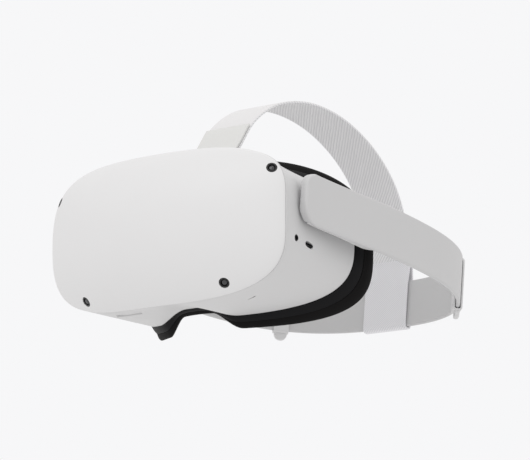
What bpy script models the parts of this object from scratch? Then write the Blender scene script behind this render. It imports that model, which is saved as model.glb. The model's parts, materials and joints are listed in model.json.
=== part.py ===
"""A standalone virtual-reality headset with a moulded head strap, as separate parts.

Units are metres and +Z is up. The wearer looks along -Y, so -Y is the front and +X is the wearer's left.
The parts are laid out from the front face: local Y is the distance behind its foremost point and local Z
the height over its middle. The empty headset_frame carries that layout to the resting position, with the
origin under the middle of the whole object. The strap has its own frame, strap_pivot, on its hinge axis:
X across, V backwards along the side arms and W up across the band.
"""

import math

import bmesh
import bpy
import numpy as np
from mathutils import Matrix, Vector

# ---- driving dimensions ------------------------------------------------------------------------------

ORIGIN_Y = 0.15181          # front face to the middle of the overall depth
ORIGIN_Z = 0.05857          # lowest point of the cheeks to the middle of the front face
WALL = 0.0020               # moulded shells
GAP = 0.0003                # between parts that touch

FACE_WIDTH = 0.0951         # half the front face's width
FACE_HEIGHT = 0.0489        # half its height
FACE_TOP_SQUARENESS = 3.90  # superellipse exponents of its outline
FACE_BOTTOM_SQUARENESS = 3.14
FACE_FRONT_Y = 0.0085       # its middle, behind the origin of the layout
FACE_BOW_X, FACE_BOW_Z = 2.25, 3.58     # curvature of the face across and upwards, per metre
FACE_LEAN = 0.016
FACE_ROLL = 0.0117          # depth of the rolled edge
LIP = 0.0014                # straight stretch on each side of the parting line

REAR_WIDTH, REAR_TOP, REAR_BOTTOM = 0.0840, 0.0460, 0.0525      # housing's rear edge
REAR_SQUARENESS = (3.0, 3.05)                                   # of its upper and lower halves
REAR_SIDE_Y, REAR_TOP_Y, REAR_BOTTOM_Y = 0.131, 0.084, 0.0675
REAR_NOSE = (0.0075, 0.004, 0.033)                              # notch height, flat half width, foot half width
FACE_EDGE_WIDTH, FACE_EDGE_TOP, FACE_EDGE_BOTTOM = 0.0862, 0.0565, 0.0593   # cushion's edge at the face
FACE_EDGE_SQUARENESS = (2.8, 3.6)
FACE_EDGE_SIDE_Y, FACE_EDGE_TOP_Y, FACE_EDGE_BOTTOM_Y = 0.1490, 0.098, 0.0755
FACE_EDGE_NOSE = (0.0115, 0.012, 0.030)
FRAME_SHARE = 0.5           # how far the rigid interface frame reaches from housing to cushion edge
CUSHION_GAP = 0.0009        # between the frame's rim and the foam

CAMERA_SITES = {"upper": (0.0871, 0.0309), "lower": (0.0563, -0.0400)}
CAMERA_RADIUS = 0.0031
CAMERA_HOLE = 0.0035

JACK_SITE, JACK_RADIUS = (0.0585, -0.0110), 0.0019                 # (y, z) on the wearer's left
USB_SITE, USB_WIDTH, USB_HEIGHT = (0.0752, -0.0127), 0.0090, 0.0032
USB_SLOPE = -0.16           # the socket follows the arm above it
POWER_SITE, POWER_WIDTH, POWER_HEIGHT = (0.0530, -0.0120), 0.0110, 0.0042   # (y, z) on the right
LIGHT_SITE = (0.0640, -0.0130)
VOLUME_SITE, VOLUME_WIDTH, VOLUME_DEPTH = (-0.0316, 0.0436), 0.0200, 0.0034  # (x, y) underneath
VOLUME_Z = -0.0487
MICROPHONE_SITE = (0.058, 0.056)                                   # (x, y) of the slot underneath

LENS_SPACING = 0.063        # middle of its three positions
BARREL_RADIUS = 0.0250
BARREL_FRONT_Y, BARREL_LENGTH = 0.0355, 0.0265
ROD_RADIUS, ROD_Y, ROD_Z, ROD_LENGTH = 0.0015, 0.0425, 0.030, 0.138
GEAR_TEETH, GEAR_MODULE = 10, 0.0008
GEAR_Y, GEAR_Z, GEAR_WIDTH = 0.0505, 0.024, 0.0034
PANEL_Y = 0.0607            # middle of the panel round the lenses
MID_FRAME_Y, MID_FRAME_THICK = 0.0335, 0.0020
SCREW_X, SCREW_Z = 0.0645, 0.0190        # four screws through the mid frame

PIVOT_Y, PIVOT_Z = 0.074, 0.0136
PIVOT_RADIUS = 0.0042
POST_X, POST_LENGTH = 0.0820, 0.0129     # where the pivot posts start inside the housing
STRAP_SLOPE = math.atan(0.121)          # the band drops towards the back of the head
BAND_FRONT_X, BAND_SIDE_X = 0.0980, 0.1043
BAND_FRONT_V, BAND_SIDE_V, BAND_BACK_V = -0.0137, 0.0869, 0.2184
BAND_SQUARENESS = 2.65
BAND_HEIGHT, BAND_THICK = 0.0333, 0.0026
END_THICK, END_LENGTH, END_CORNER = 0.0062, 0.0060, 0.0090
SLIDER_ANGLE = math.radians(49.0)       # place of the sliders on the back of the band
TOP_STRAP_WIDTH, TOP_STRAP_THICK = 0.0360, 0.0016
# (Y, Z) of the webbing's middle line, from its anchor over the head to the rear sleeve
TOP_STRAP_PATH = ((0.0815, 0.0475), (0.096, 0.0650), (0.113, 0.0860), (0.140, 0.1020), (0.176, 0.1090),
                  (0.214, 0.1050), (0.248, 0.0910), (0.273, 0.0700), (0.287, 0.0440), (0.2925, 0.0190))
STRAP_SPLIT = (0.190, 0.195)   # shares of the path where the fixed part ends and the tilting part begins

RING_QUARTER = 14           # points along a quarter of each outline


# ---- scene and small helpers --------------------------------------------------------------------------

for old in list(bpy.data.objects):
    bpy.data.objects.remove(old, do_unlink=True)

parts = bpy.data.collections.new("vr_headset")
cutters = bpy.data.collections.new("cutters")
for group in (parts, cutters):
    bpy.context.scene.collection.children.link(group)


def empty(name, location, parent=None, rotation=(0, 0, 0)):
    axis = bpy.data.objects.new(name, None)
    axis.empty_display_size = 0.01
    axis.location, axis.rotation_euler, axis.parent = location, rotation, parent
    parts.objects.link(axis)
    return axis


headset_frame = empty("headset_frame", (0, -ORIGIN_Y, ORIGIN_Z))
strap_pivot = empty("strap_pivot", (0, PIVOT_Y, PIVOT_Z), headset_frame, (-STRAP_SLOPE, 0, 0))


def material(name, colour, roughness, metallic=0.0):
    made = bpy.data.materials.get(name) or bpy.data.materials.new(name)
    made.use_nodes = True
    shader = made.node_tree.nodes["Principled BSDF"]
    shader.inputs["Base Color"].default_value = (*colour, 1.0)
    shader.inputs["Roughness"].default_value = roughness
    shader.inputs["Metallic"].default_value = metallic
    return made


WHITE = material("white_shell", (0.74, 0.74, 0.75), 0.42)
GREY = material("grey_shell", (0.60, 0.60, 0.61), 0.45)
BLACK = material("black_plastic", (0.012, 0.012, 0.013), 0.50)
FOAM = material("black_foam", (0.020, 0.020, 0.022), 0.90)
WEBBING = material("white_webbing", (0.70, 0.70, 0.72), 0.85)
BAND = material("strap_rubber", (0.52, 0.52, 0.53), 0.55)
GLASS = material("lens_glass", (0.02, 0.02, 0.025), 0.05)
STEEL = material("steel", (0.55, 0.55, 0.56), 0.30, 1.0)
MAGNESIUM = material("magnesium", (0.35, 0.35, 0.36), 0.50, 1.0)
BOARD = material("circuit_board", (0.01, 0.07, 0.04), 0.50)
POUCH = material("battery_pouch", (0.10, 0.10, 0.11), 0.40)


def add(name, mesh, finish, parent=headset_frame, location=(0, 0, 0), rotation=(0, 0, 0), helper=False):
    """Puts a mesh in the scene: a named part, or with helper a hidden shape for a Boolean."""
    made = bpy.data.objects.new(name, mesh)
    made.location, made.rotation_euler, made.parent = location, rotation, parent
    if helper:
        made.hide_render, made.display_type = True, "WIRE"
        cutters.objects.link(made)
        return made
    mesh.materials.append(finish)
    mesh.shade_smooth()
    mesh.set_sharp_from_angle(angle=math.radians(35))
    parts.objects.link(made)
    return made


def from_bmesh(shape, name):
    bmesh.ops.recalc_face_normals(shape, faces=shape.faces)
    mesh = bpy.data.meshes.new(name)
    shape.to_mesh(mesh)
    shape.free()
    return mesh


def box_mesh(name, size, centre=(0, 0, 0)):
    shape = bmesh.new()
    bmesh.ops.create_cube(shape, size=1, matrix=Matrix.Translation(centre) @ Matrix.Diagonal((*size, 1)))
    return from_bmesh(shape, name)


def cylinder_mesh(name, radius, length, axis="Z", centre=(0, 0, 0), segments=24, stretch=1.0):
    """A cylinder along X, Y or Z; stretch widens it along X."""
    turn = {"X": Matrix.Rotation(math.pi / 2, 4, "Y"), "Y": Matrix.Rotation(math.pi / 2, 4, "X"),
            "Z": Matrix.Identity(4)}[axis]
    shape = bmesh.new()
    bmesh.ops.create_cone(shape, cap_ends=True, segments=segments, radius1=radius, radius2=radius,
                          depth=length,
                          matrix=Matrix.Translation(centre) @ Matrix.Diagonal((stretch, 1, 1, 1)) @ turn)
    return from_bmesh(shape, name)


def boolean(target, other, operation="DIFFERENCE"):
    step = target.modifiers.new(operation.lower(), "BOOLEAN")
    step.operation, step.solver, step.object = operation, "EXACT", other


def cut_box(target, size, centre, parent=headset_frame, rotation=(0, 0, 0)):
    mesh = box_mesh(target.name + "_cutter", size)
    boolean(target, add(mesh.name, mesh, None, parent, centre, rotation, helper=True))


def cut_round(target, radius, length, axis, centre, parent=headset_frame, segments=24, stretch=1.0):
    mesh = cylinder_mesh(target.name + "_cutter", radius, length, axis, segments=segments, stretch=stretch)
    boolean(target, add(mesh.name, mesh, None, parent, centre, helper=True))


def join(target, mesh, parent=headset_frame, location=(0, 0, 0), rotation=(0, 0, 0)):
    boolean(target, add(mesh.name, mesh, None, parent, location, rotation, helper=True), "UNION")


def soften(target, width, segments=2):
    """Rounds a part's edges; it comes before any cut, whose own edges stay crisp."""
    step = target.modifiers.new("edges", "BEVEL")
    step.width, step.segments, step.limit_method = width, segments, "ANGLE"
    step.angle_limit, step.use_clamp_overlap = math.radians(40), True


def turned(name, profile, finish, location, rotation, parent=headset_frame, closed=False, steps=32):
    """A profile of (radius, height) turned round the object's Z axis. It runs down its outer side."""
    mesh = bpy.data.meshes.new(name)
    edges = [(i, i + 1) for i in range(len(profile) - 1)] + ([(len(profile) - 1, 0)] if closed else [])
    mesh.from_pydata([(radius, 0, height) for radius, height in profile], edges, [])
    made = add(name, mesh, finish, parent, location, rotation)
    screw = made.modifiers.new("turn", "SCREW")
    screw.steps = screw.render_steps = steps
    screw.use_merge_vertices, screw.merge_threshold = True, 0.00001
    screw.use_smooth_shade = True
    return made


def loft(name, rings, ends):
    """A skin over rows of points. ends is "open", "capped", "joined" from the last row to the first, or the
    point at which the last row is drawn together."""
    rows, count = len(rings), len(rings[0])
    faces = []
    for row in range(rows if ends == "joined" else rows - 1):
        here, there = row * count, (row + 1) % rows * count
        for i in range(count):
            j = (i + 1) % count
            faces.append((here + i, here + j, there + j, there + i))
    last = (rows - 1) * count
    points = [point for ring in rings for point in ring]
    if ends == "capped":
        faces += [tuple(reversed(range(count))), tuple(range(last, last + count))]
    if isinstance(ends, tuple):
        faces += [(last + i, last + (i + 1) % count, last + count) for i in range(count)]
        points.append(ends)
    shape = bmesh.new()
    verts = [shape.verts.new(point) for point in points]
    for face in faces:
        shape.faces.new([verts[i] for i in face])
    return from_bmesh(shape, name)


def thicken(target, thickness):
    step = target.modifiers.new("wall", "SOLIDIFY")
    step.thickness, step.offset, step.use_even_offset = thickness, -1, True


def smoothstep(low, high, value):
    share = np.clip((value - low) / (high - low), 0, 1)
    return share * share * (3 - 2 * share)


# ---- outlines of the housing, from the front face to the face cushion ----------------------------------

def quarter_outline(half_width, half_height, squareness):
    """A quarter superellipse from its side to its top, in equal steps of length."""
    angle = np.linspace(0, math.pi / 2, 400)
    x = half_width * np.cos(angle) ** (2 / squareness)
    z = half_height * np.sin(angle) ** (2 / squareness)
    length = np.concatenate([[0], np.cumsum(np.hypot(np.diff(x), np.diff(z)))])
    steps = np.linspace(0, length[-1], RING_QUARTER + 1)
    return np.stack([np.interp(steps, length, x), np.interp(steps, length, z)], axis=1)


def outline(half_width, top, bottom, top_squareness, bottom_squareness):
    """A whole outline as (x, z) rows, anticlockwise from the wearer's left side."""
    upper = quarter_outline(half_width, top, top_squareness)
    lower = quarter_outline(half_width, bottom, bottom_squareness)
    return np.concatenate([upper[:-1], (upper[::-1] * (-1, 1))[:-1],
                           (lower * (-1, -1))[:-1], (lower[::-1] * (1, -1))[:-1]])


def ring(xz, y):
    return np.stack([xz[:, 0], np.broadcast_to(y, len(xz)), xz[:, 1]], axis=1)


def inset(points, distance):
    """A ring moved towards its inside, in its own X and Z."""
    along = np.roll(points, -1, axis=0) - np.roll(points, 1, axis=0)
    inward = np.stack([-along[:, 2], np.zeros(len(points)), along[:, 0]], axis=1)
    return points + distance * inward / np.linalg.norm(inward, axis=1, keepdims=True)


def shifted(points, back):
    return points + (0, back, 0)


def parting_depth(x, z):
    """Depth of the bowed, leaning surface that the front face follows."""
    return FACE_FRONT_Y + FACE_BOW_X * x * x + FACE_BOW_Z * z * z - FACE_LEAN * z


def rolled(share):
    """How far the rolled edge falls behind that surface, at a share of the way from middle to edge."""
    return FACE_ROLL * (1 - (1 - min(share, 1.0) ** 2) ** (2 / 3))


def face_ring(share):
    """The front shell's surface at a share of the way from its middle to its edge."""
    xz = share * outline(FACE_WIDTH, FACE_HEIGHT, FACE_HEIGHT, FACE_TOP_SQUARENESS, FACE_BOTTOM_SQUARENESS)
    return ring(xz, parting_depth(xz[:, 0], xz[:, 1]) + rolled(share))


def face_edge(half_width, top, bottom, squareness, side_y, top_y, bottom_y, nose):
    """An edge that follows the face: it runs forward to the nose and forehead, with a notch for the nose."""
    xz = outline(half_width, top, bottom, *squareness)
    rise = np.clip(xz[:, 1] / top, -1, 1)
    middle_y = (top_y + bottom_y) / 2 + (top_y - bottom_y) / 2 * rise
    y = middle_y + (side_y - middle_y) * (xz[:, 0] / half_width) ** 2
    height, flat, foot = nose
    lift = height * (1 - smoothstep(flat, foot, np.abs(xz[:, 0])))
    xz[:, 1] += np.where(xz[:, 1] < 0, lift, 0)
    return ring(xz, y)


PARTING = face_ring(1.0) + (0, LIP, 0)
REAR_EDGE = face_edge(REAR_WIDTH, REAR_TOP, REAR_BOTTOM, REAR_SQUARENESS, REAR_SIDE_Y, REAR_TOP_Y,
                      REAR_BOTTOM_Y, REAR_NOSE)
CUSHION_EDGE = face_edge(FACE_EDGE_WIDTH, FACE_EDGE_TOP, FACE_EDGE_BOTTOM, FACE_EDGE_SQUARENESS,
                         FACE_EDGE_SIDE_Y, FACE_EDGE_TOP_Y, FACE_EDGE_BOTTOM_Y, FACE_EDGE_NOSE)
FRAME_EDGE = REAR_EDGE + FRAME_SHARE * (CUSHION_EDGE - REAR_EDGE)


def housing_ring(share):
    """The housing between the parting line (0) and its rear edge (1); share may vary round the ring."""
    share = np.broadcast_to(np.asarray(share, float), len(PARTING))
    waist = share ** 0.6
    return PARTING + (REAR_EDGE - PARTING) * np.stack([waist, share, waist], axis=1)


def housing_section(y, clearance):
    """The room inside the housing at one depth, that much smaller than its outside."""
    share = (y - PARTING[:, 1]) / (REAR_EDGE[:, 1] - PARTING[:, 1])
    return inset(housing_ring(share), clearance)


def face_normal(x, z):
    """Point on the front face and the outward direction there."""
    def depth(at_x, at_z):
        power = FACE_TOP_SQUARENESS if at_z > 0 else FACE_BOTTOM_SQUARENESS
        share = ((abs(at_x) / FACE_WIDTH) ** power + (abs(at_z) / FACE_HEIGHT) ** power) ** (1 / power)
        return parting_depth(at_x, at_z) + rolled(share)
    step = 0.0005
    slope_x = (depth(x + step, z) - depth(x - step, z)) / (2 * step)
    slope_z = (depth(x, z + step) - depth(x, z - step)) / (2 * step)
    return Vector((x, depth(x, z), z)), Vector((slope_x, -1, slope_z)).normalized()


# ---- shells, cameras and what is inside them ------------------------------------------------------------

def make_front_shell():
    shares = (1.0, 0.98, 0.93, 0.85, 0.70, 0.40)
    rings = [shifted(PARTING, -GAP / 2)] + [face_ring(share) for share in shares]
    shell = add("front_shell", loft("front_shell", rings, (0, FACE_FRONT_Y, 0)), WHITE)
    thicken(shell, WALL)
    return shell


def make_tracking_cameras(shell):
    """Four cameras behind round holes in the rolled edge, each a ring, its barrel and a small glass dome."""
    r = CAMERA_RADIUS
    ring_profile = ((r, 0.0), (r, -0.0060), (0.0, -0.0060), (0.0, -0.0030), (0.0023, -0.0030),
                    (0.0023, -0.0006), (r - 0.0003, 0.0001))
    glass_profile = ((0.0, -0.0002), (0.0012, -0.0004), (0.0020, -0.0010), (0.0020, -0.0026), (0.0, -0.0026))
    for level, (x, z) in CAMERA_SITES.items():
        for side, sign in (("left", 1), ("right", -1)):
            point, out = face_normal(sign * x, z)
            turn = out.to_track_quat("Z", "Y").to_euler()
            cutter = cylinder_mesh("camera_cutter", CAMERA_HOLE, 0.014, segments=24)
            boolean(shell, add(f"{level}_{side}_hole", cutter, None, location=point, rotation=turn, helper=True))
            name = f"{level}_{side}_camera"
            turned(name, ring_profile[3:] + ring_profile[:3], BLACK, point, turn, steps=16)
            turned(name + "_glass", glass_profile, GLASS, point, turn, steps=12)


def make_rear_housing():
    shares = (0.0, 0.10, 0.3, 0.55, 0.8, 1.0)
    rings = [housing_ring(share) for share in shares]
    rings[0] = shifted(PARTING, GAP / 2)
    rings.insert(1, shifted(PARTING, LIP))
    housing = add("rear_housing", loft("rear_housing", rings, "open"), GREY)
    thicken(housing, WALL)
    for side in (1, -1):
        cut_round(housing, PIVOT_RADIUS + 0.0004, 0.012, "X", (side * 0.089, PIVOT_Y, PIVOT_Z))
    cut_round(housing, JACK_RADIUS + 0.0003, 0.012, "X", (0.091, *JACK_SITE))
    cut_box(housing, (0.012, USB_WIDTH + 0.0006, USB_HEIGHT + 0.0006), (0.090, *USB_SITE), rotation=(USB_SLOPE, 0, 0))
    cut_box(housing, (0.012, POWER_WIDTH + 0.0006, POWER_HEIGHT + 0.0006), (-0.091, *POWER_SITE))
    cut_round(housing, 0.0012, 0.012, "X", (-0.090, *LIGHT_SITE), segments=16)
    cut_box(housing, (VOLUME_WIDTH + 0.0008, VOLUME_DEPTH + 0.0008, 0.010), (*VOLUME_SITE, VOLUME_Z - 0.0014))
    cut_box(housing, (0.0060, 0.0009, 0.010), (*MICROPHONE_SITE, -0.045))
    return housing


def make_sockets_and_controls():
    """The two sockets on the wearer's left, the power button and status light on the right, volume below."""
    jack = add("headphone_socket", box_mesh("headphone_socket", (0.0110, 0.0064, 0.0064)), BLACK,
               location=(0.0823, *JACK_SITE))
    join(jack, cylinder_mesh("jack_collar", JACK_RADIUS, 0.0040, "X", segments=20),
         location=(0.0894, *JACK_SITE))
    cut_round(jack, 0.00145, 0.020, "X", (0.0900, *JACK_SITE), segments=16)

    usb = add("usb_socket", box_mesh("usb_socket", (0.0080, USB_WIDTH, USB_HEIGHT)), STEEL,
              location=(0.0855, *USB_SITE), rotation=(USB_SLOPE, 0, 0))
    soften(usb, 0.0012, 3)
    cut_box(usb, (0.0080, USB_WIDTH - 0.0010, USB_HEIGHT - 0.0010), (0.0875, *USB_SITE), rotation=(USB_SLOPE, 0, 0))

    button = add("power_button", box_mesh("power_button", (0.0040, POWER_WIDTH, POWER_HEIGHT)), GREY,
                 location=(-0.0900, *POWER_SITE))
    soften(button, 0.0010, 2)
    light = cylinder_mesh("status_light", 0.0009, 0.0040, "X", segments=12)
    add("status_light", light, GLASS, location=(-0.0884, *LIGHT_SITE))

    rocker = add("volume_rocker", box_mesh("volume_rocker", (VOLUME_WIDTH, VOLUME_DEPTH, 0.0030)), GREY,
                 location=(*VOLUME_SITE, VOLUME_Z))
    soften(rocker, 0.0008, 2)


def make_mid_frame():
    """The metal plate that carries display, lens rods and gear."""
    frame = add("mid_frame", box_mesh("mid_frame", (0.136, MID_FRAME_THICK, 0.061)), MAGNESIUM,
                location=(0, MID_FRAME_Y, 0))
    for side in (1, -1):
        for level in (1, -1):
            boss = box_mesh("rod_boss", (0.0060, 0.0130, 0.0070))
            join(frame, boss, location=(side * 0.0660, MID_FRAME_Y + 0.0073, level * ROD_Z))
    for side in (1, -1):
        cut_round(frame, 0.0228, 0.010, "Y", (side * LENS_SPACING / 2, MID_FRAME_Y, 0), segments=32)
        for level in (1, -1):
            cut_round(frame, 0.0016, 0.010, "Y", (side * SCREW_X, MID_FRAME_Y, level * SCREW_Z), segments=16)
    for level in (1, -1):
        cut_round(frame, ROD_RADIUS + GAP, 0.150, "X", (0, ROD_Y, level * ROD_Z), segments=16)
        rod = cylinder_mesh("rod", ROD_RADIUS, ROD_LENGTH, "X", segments=16)
        add(f"{'upper' if level > 0 else 'lower'}_lens_rod", rod, STEEL, location=(0, ROD_Y, level * ROD_Z))


def make_lens_panel():
    """The black panel round the lenses, with four posts that the mid frame is screwed to."""
    front, back = PANEL_Y - 0.001, PANEL_Y + 0.001
    clearance = WALL + 0.0009
    rings = [ring(housing_section(PANEL_Y, clearance)[:, [0, 2]], y) for y in (front, back)]
    panel = add("lens_panel", loft("lens_panel", rings, "capped"), BLACK)
    post_length = front - (MID_FRAME_Y + MID_FRAME_THICK / 2) - GAP
    for side in (1, -1):
        for level in (1, -1):
            post = cylinder_mesh("screw_post", 0.0035, post_length + 0.001, "Y", segments=16)
            at = (side * SCREW_X, front - post_length / 2 + 0.0005, level * SCREW_Z)
            join(panel, post, location=at)
            cut_round(panel, 0.0013, 0.024, "Y", (at[0], MID_FRAME_Y + 0.012, at[2]), segments=12)
            name = f"{'upper' if level > 0 else 'lower'}_{'left' if side > 0 else 'right'}_frame_screw"
            turned(name, ((0.0, 0.0015), (0.0026, 0.0010), (0.0026, 0.0), (0.0010, 0.0), (0.0010, -0.009),
                          (0.0, -0.009)), STEEL, (at[0], MID_FRAME_Y - 0.001 - GAP, at[2]),
                   (math.pi / 2, 0, 0), steps=12)
        cut_round(panel, 0.0260, 0.010, "Y", (side * LENS_SPACING / 2, PANEL_Y, 0), segments=36, stretch=1.09)
    cut_box(panel, (0.0066, 0.010, 0.0046), (0, PANEL_Y, 0.0330))
    cut_box(panel, (0.0180, 0.010, 0.0080), (0.0850, PANEL_Y, JACK_SITE[1]))
    sensor = add("proximity_sensor", box_mesh("proximity_sensor", (0.0060, 0.0030, 0.0040)), GLASS,
                 location=(0, PANEL_Y, 0.0330))
    soften(sensor, 0.0005, 1)


def rack(name, direction):
    """A toothed bar along X. Its teeth point along direction (1 up, -1 down) and leave a gap at X = 0."""
    pitch = math.pi * GEAR_MODULE
    root, tip = 0.0009, -0.0007
    bottom = [(-0.0062, root), (0.0062, root)]
    teeth = []
    for i in (1.5, 0.5, -0.5, -1.5):
        centre = i * pitch
        teeth += [(centre + 0.00066, root), (centre + 0.00022, tip), (centre - 0.00022, tip),
                  (centre - 0.00066, root)]
    thick = 0.0034
    points = [(-0.0062, thick)] + bottom[:1] + teeth[::-1] + bottom[1:] + [(0.0062, thick)]
    shape = bmesh.new()
    face = shape.faces.new([shape.verts.new((x, -GEAR_WIDTH / 2, -direction * z)) for x, z in points])
    sides = bmesh.ops.extrude_face_region(shape, geom=[face])["geom"]
    moved = [item for item in sides if isinstance(item, bmesh.types.BMVert)]
    bmesh.ops.translate(shape, verts=moved, vec=(0, GEAR_WIDTH, 0))
    return from_bmesh(shape, name)


def make_lenses():
    """Two lens barrels on the rods, each with a rack, and the gear between that makes them move together."""
    r, length = BARREL_RADIUS, BARREL_LENGTH
    barrel_profile = ((r, length), (r, length - 0.008), (r - 0.0012, 0.0), (r - 0.0026, 0.0),
                      (r - 0.0026, length - 0.0055), (r - 0.0016, length - 0.0055), (r - 0.0016, length))
    lens_profile = ((0.0, length - 0.0012), (0.008, length - 0.0016), (0.016, length - 0.0027),
                    (r - 0.0020, length - 0.0046), (r - 0.0020, length - 0.0052), (0.014, length - 0.0075),
                    (0.0, length - 0.0090))
    pitch_radius = GEAR_TEETH * GEAR_MODULE / 2
    for name, side in (("left", 1), ("right", -1)):
        centre = (side * LENS_SPACING / 2, BARREL_FRONT_Y, 0)
        barrel = turned(name + "_lens_barrel", barrel_profile, BLACK, centre, (-math.pi / 2, 0, 0),
                        closed=True, steps=32)
        for level in (1, -1):
            lug = box_mesh("rod_lug", (0.014, 0.0070, 0.0090))
            join(barrel, lug, location=(centre[0], ROD_Y, level * (ROD_Z - 0.0015)))
        if side > 0:
            join(barrel, box_mesh("rack_arm", (0.0330, GEAR_WIDTH, 0.0026)),
                 location=(0.0225, GEAR_Y, GEAR_Z + pitch_radius + 0.0021))
            join(barrel, box_mesh("rack_foot", (0.0060, 0.0110, 0.0080)),
                 location=(0.0335, GEAR_Y - 0.0040, GEAR_Z + 0.0035))
            join(barrel, rack("upper_rack", -1), location=(0, GEAR_Y, GEAR_Z + pitch_radius))
        else:
            join(barrel, box_mesh("rack_arm", (0.0107, GEAR_WIDTH, 0.0025)),
                 location=(-0.01055, GEAR_Y, GEAR_Z - pitch_radius - 0.00215))
            join(barrel, rack("lower_rack", 1), location=(0, GEAR_Y, GEAR_Z - pitch_radius))
        for level in (1, -1):
            cut_round(barrel, ROD_RADIUS + 0.0002, 0.040, "X", (centre[0], ROD_Y, level * ROD_Z), segments=16)
        turned(name + "_lens", lens_profile, GLASS, centre, (-math.pi / 2, 0, 0), steps=28)

    teeth = []
    for i in range(GEAR_TEETH):
        middle = math.pi / 2 + 2 * math.pi * i / GEAR_TEETH
        for radius, half in ((0.0031, -0.00060), (0.0047, -0.00022), (0.0047, 0.00022), (0.0031, 0.00060)):
            turn = middle + math.asin(half / radius)
            teeth.append((radius * math.cos(turn), -GEAR_WIDTH / 2, radius * math.sin(turn)))
    shape = bmesh.new()
    face = shape.faces.new([shape.verts.new(point) for point in teeth])
    sides = bmesh.ops.extrude_face_region(shape, geom=[face])["geom"]
    bmesh.ops.translate(shape, verts=[item for item in sides if isinstance(item, bmesh.types.BMVert)],
                        vec=(0, GEAR_WIDTH, 0))
    gear = add("lens_gear", from_bmesh(shape, "lens_gear"), BLACK, location=(0, GEAR_Y, GEAR_Z))
    cut_round(gear, 0.00135, 0.010, "Y", (0, GEAR_Y, GEAR_Z), segments=16)
    pin = cylinder_mesh("gear_pin", 0.0012, 0.0186, "Y", segments=16)
    add("gear_pin", pin, STEEL, location=(0, MID_FRAME_Y + 0.0010 + GAP + 0.0093, GEAR_Z))


def make_electronics():
    """Display, board, shield, heat spreader, battery and blower, stacked behind the front shell."""
    layers = (("display_panel", (0.120, 0.0020, 0.058), (0, 0.0306, 0), GLASS),
              ("main_board", (0.108, 0.0012, 0.058), (0, 0.0269, 0), BOARD),
              ("heat_spreader", (0.100, 0.0010, 0.052), (0, 0.0250, 0), MAGNESIUM),
              ("battery", (0.040, 0.0054, 0.034), (-0.0240, 0.0213, 0), POUCH))
    for name, size, centre, finish in layers:
        layer = add(name, box_mesh(name, size), finish, location=centre)
        soften(layer, min(0.0010, size[1] / 3), 1)
    shield = add("processor_shield", box_mesh("processor_shield", (0.030, 0.0012, 0.024)), STEEL,
                 location=(-0.010, 0.0285, 0))
    soften(shield, 0.0003, 1)

    fan_x, fan_y = 0.0240, 0.0213
    housing = add("blower_housing", box_mesh("blower_housing", (0.036, 0.0054, 0.034)), BLACK,
                  location=(fan_x, fan_y, 0))
    cut_round(housing, 0.0160, 0.0054, "Y", (fan_x, fan_y - 0.0010, 0), segments=32)
    cut_box(housing, (0.018, 0.0030, 0.012), (fan_x + 0.008, fan_y - 0.0008, 0.014))
    blades, points = 9, []
    for i in range(blades):
        angle = 2 * math.pi * i / blades
        for radius, turn in ((0.0070, 0.0), (0.0150, 0.18), (0.0150, 0.26), (0.0070, 0.22)):
            points.append((radius * math.cos(angle + turn), 0, radius * math.sin(angle + turn)))
    shape = bmesh.new()
    face = shape.faces.new([shape.verts.new(point) for point in points])
    sides = bmesh.ops.extrude_face_region(shape, geom=[face])["geom"]
    bmesh.ops.translate(shape, verts=[item for item in sides if isinstance(item, bmesh.types.BMVert)],
                        vec=(0, 0.0034, 0))
    add("fan_rotor", from_bmesh(shape, "fan_rotor"), BLACK, location=(fan_x, fan_y - 0.0024, 0))


# ---- face interface ------------------------------------------------------------------------------------

def make_interface():
    """The rigid frame that clips into the housing's rear opening, and the foam cushion on it."""
    skirt_out, skirt_in, skirt_depth = WALL + 0.0007, WALL + 0.0025, 0.0050
    frame_rows = [shifted(REAR_EDGE, GAP), shifted(FRAME_EDGE, 0), shifted(inset(FRAME_EDGE, 0.0030), 0),
                  shifted(inset(REAR_EDGE, skirt_in), 0.0015), shifted(inset(REAR_EDGE, skirt_in), -skirt_depth),
                  shifted(inset(REAR_EDGE, skirt_out), -skirt_depth), shifted(inset(REAR_EDGE, skirt_out), GAP)]
    add("interface_frame", loft("interface_frame", frame_rows, "joined"), BLACK)

    middle = FRAME_EDGE + 0.5 * (CUSHION_EDGE - FRAME_EDGE)
    cushion_rows = [shifted(FRAME_EDGE, CUSHION_GAP), inset(middle, -0.0006), CUSHION_EDGE,
                    shifted(inset(CUSHION_EDGE, 0.0022), 0.0016), shifted(inset(CUSHION_EDGE, 0.0060), 0.0016),
                    shifted(inset(CUSHION_EDGE, 0.0095), -0.0010), shifted(inset(FRAME_EDGE, 0.0085), 0.0010),
                    shifted(inset(FRAME_EDGE, 0.0050), CUSHION_GAP)]
    add("face_cushion", loft("face_cushion", cushion_rows, "joined"), FOAM)


# ---- head strap ------------------------------------------------------------------------------------------

def band_side_x(v):
    """The band's outer face beside the head."""
    return BAND_FRONT_X + (BAND_SIDE_X - BAND_FRONT_X) * smoothstep(BAND_FRONT_V, BAND_SIDE_V, v)


def band_back(angle):
    """The band's outer face round the back of the head, from its side (0) to its middle (90 degrees)."""
    across = BAND_SIDE_X * np.maximum(np.cos(angle), 0) ** (2 / BAND_SQUARENESS)
    back = BAND_SIDE_V + (BAND_BACK_V - BAND_SIDE_V) * np.sin(angle) ** (2 / BAND_SQUARENESS)
    return np.stack([across, back], axis=-1)


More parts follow.
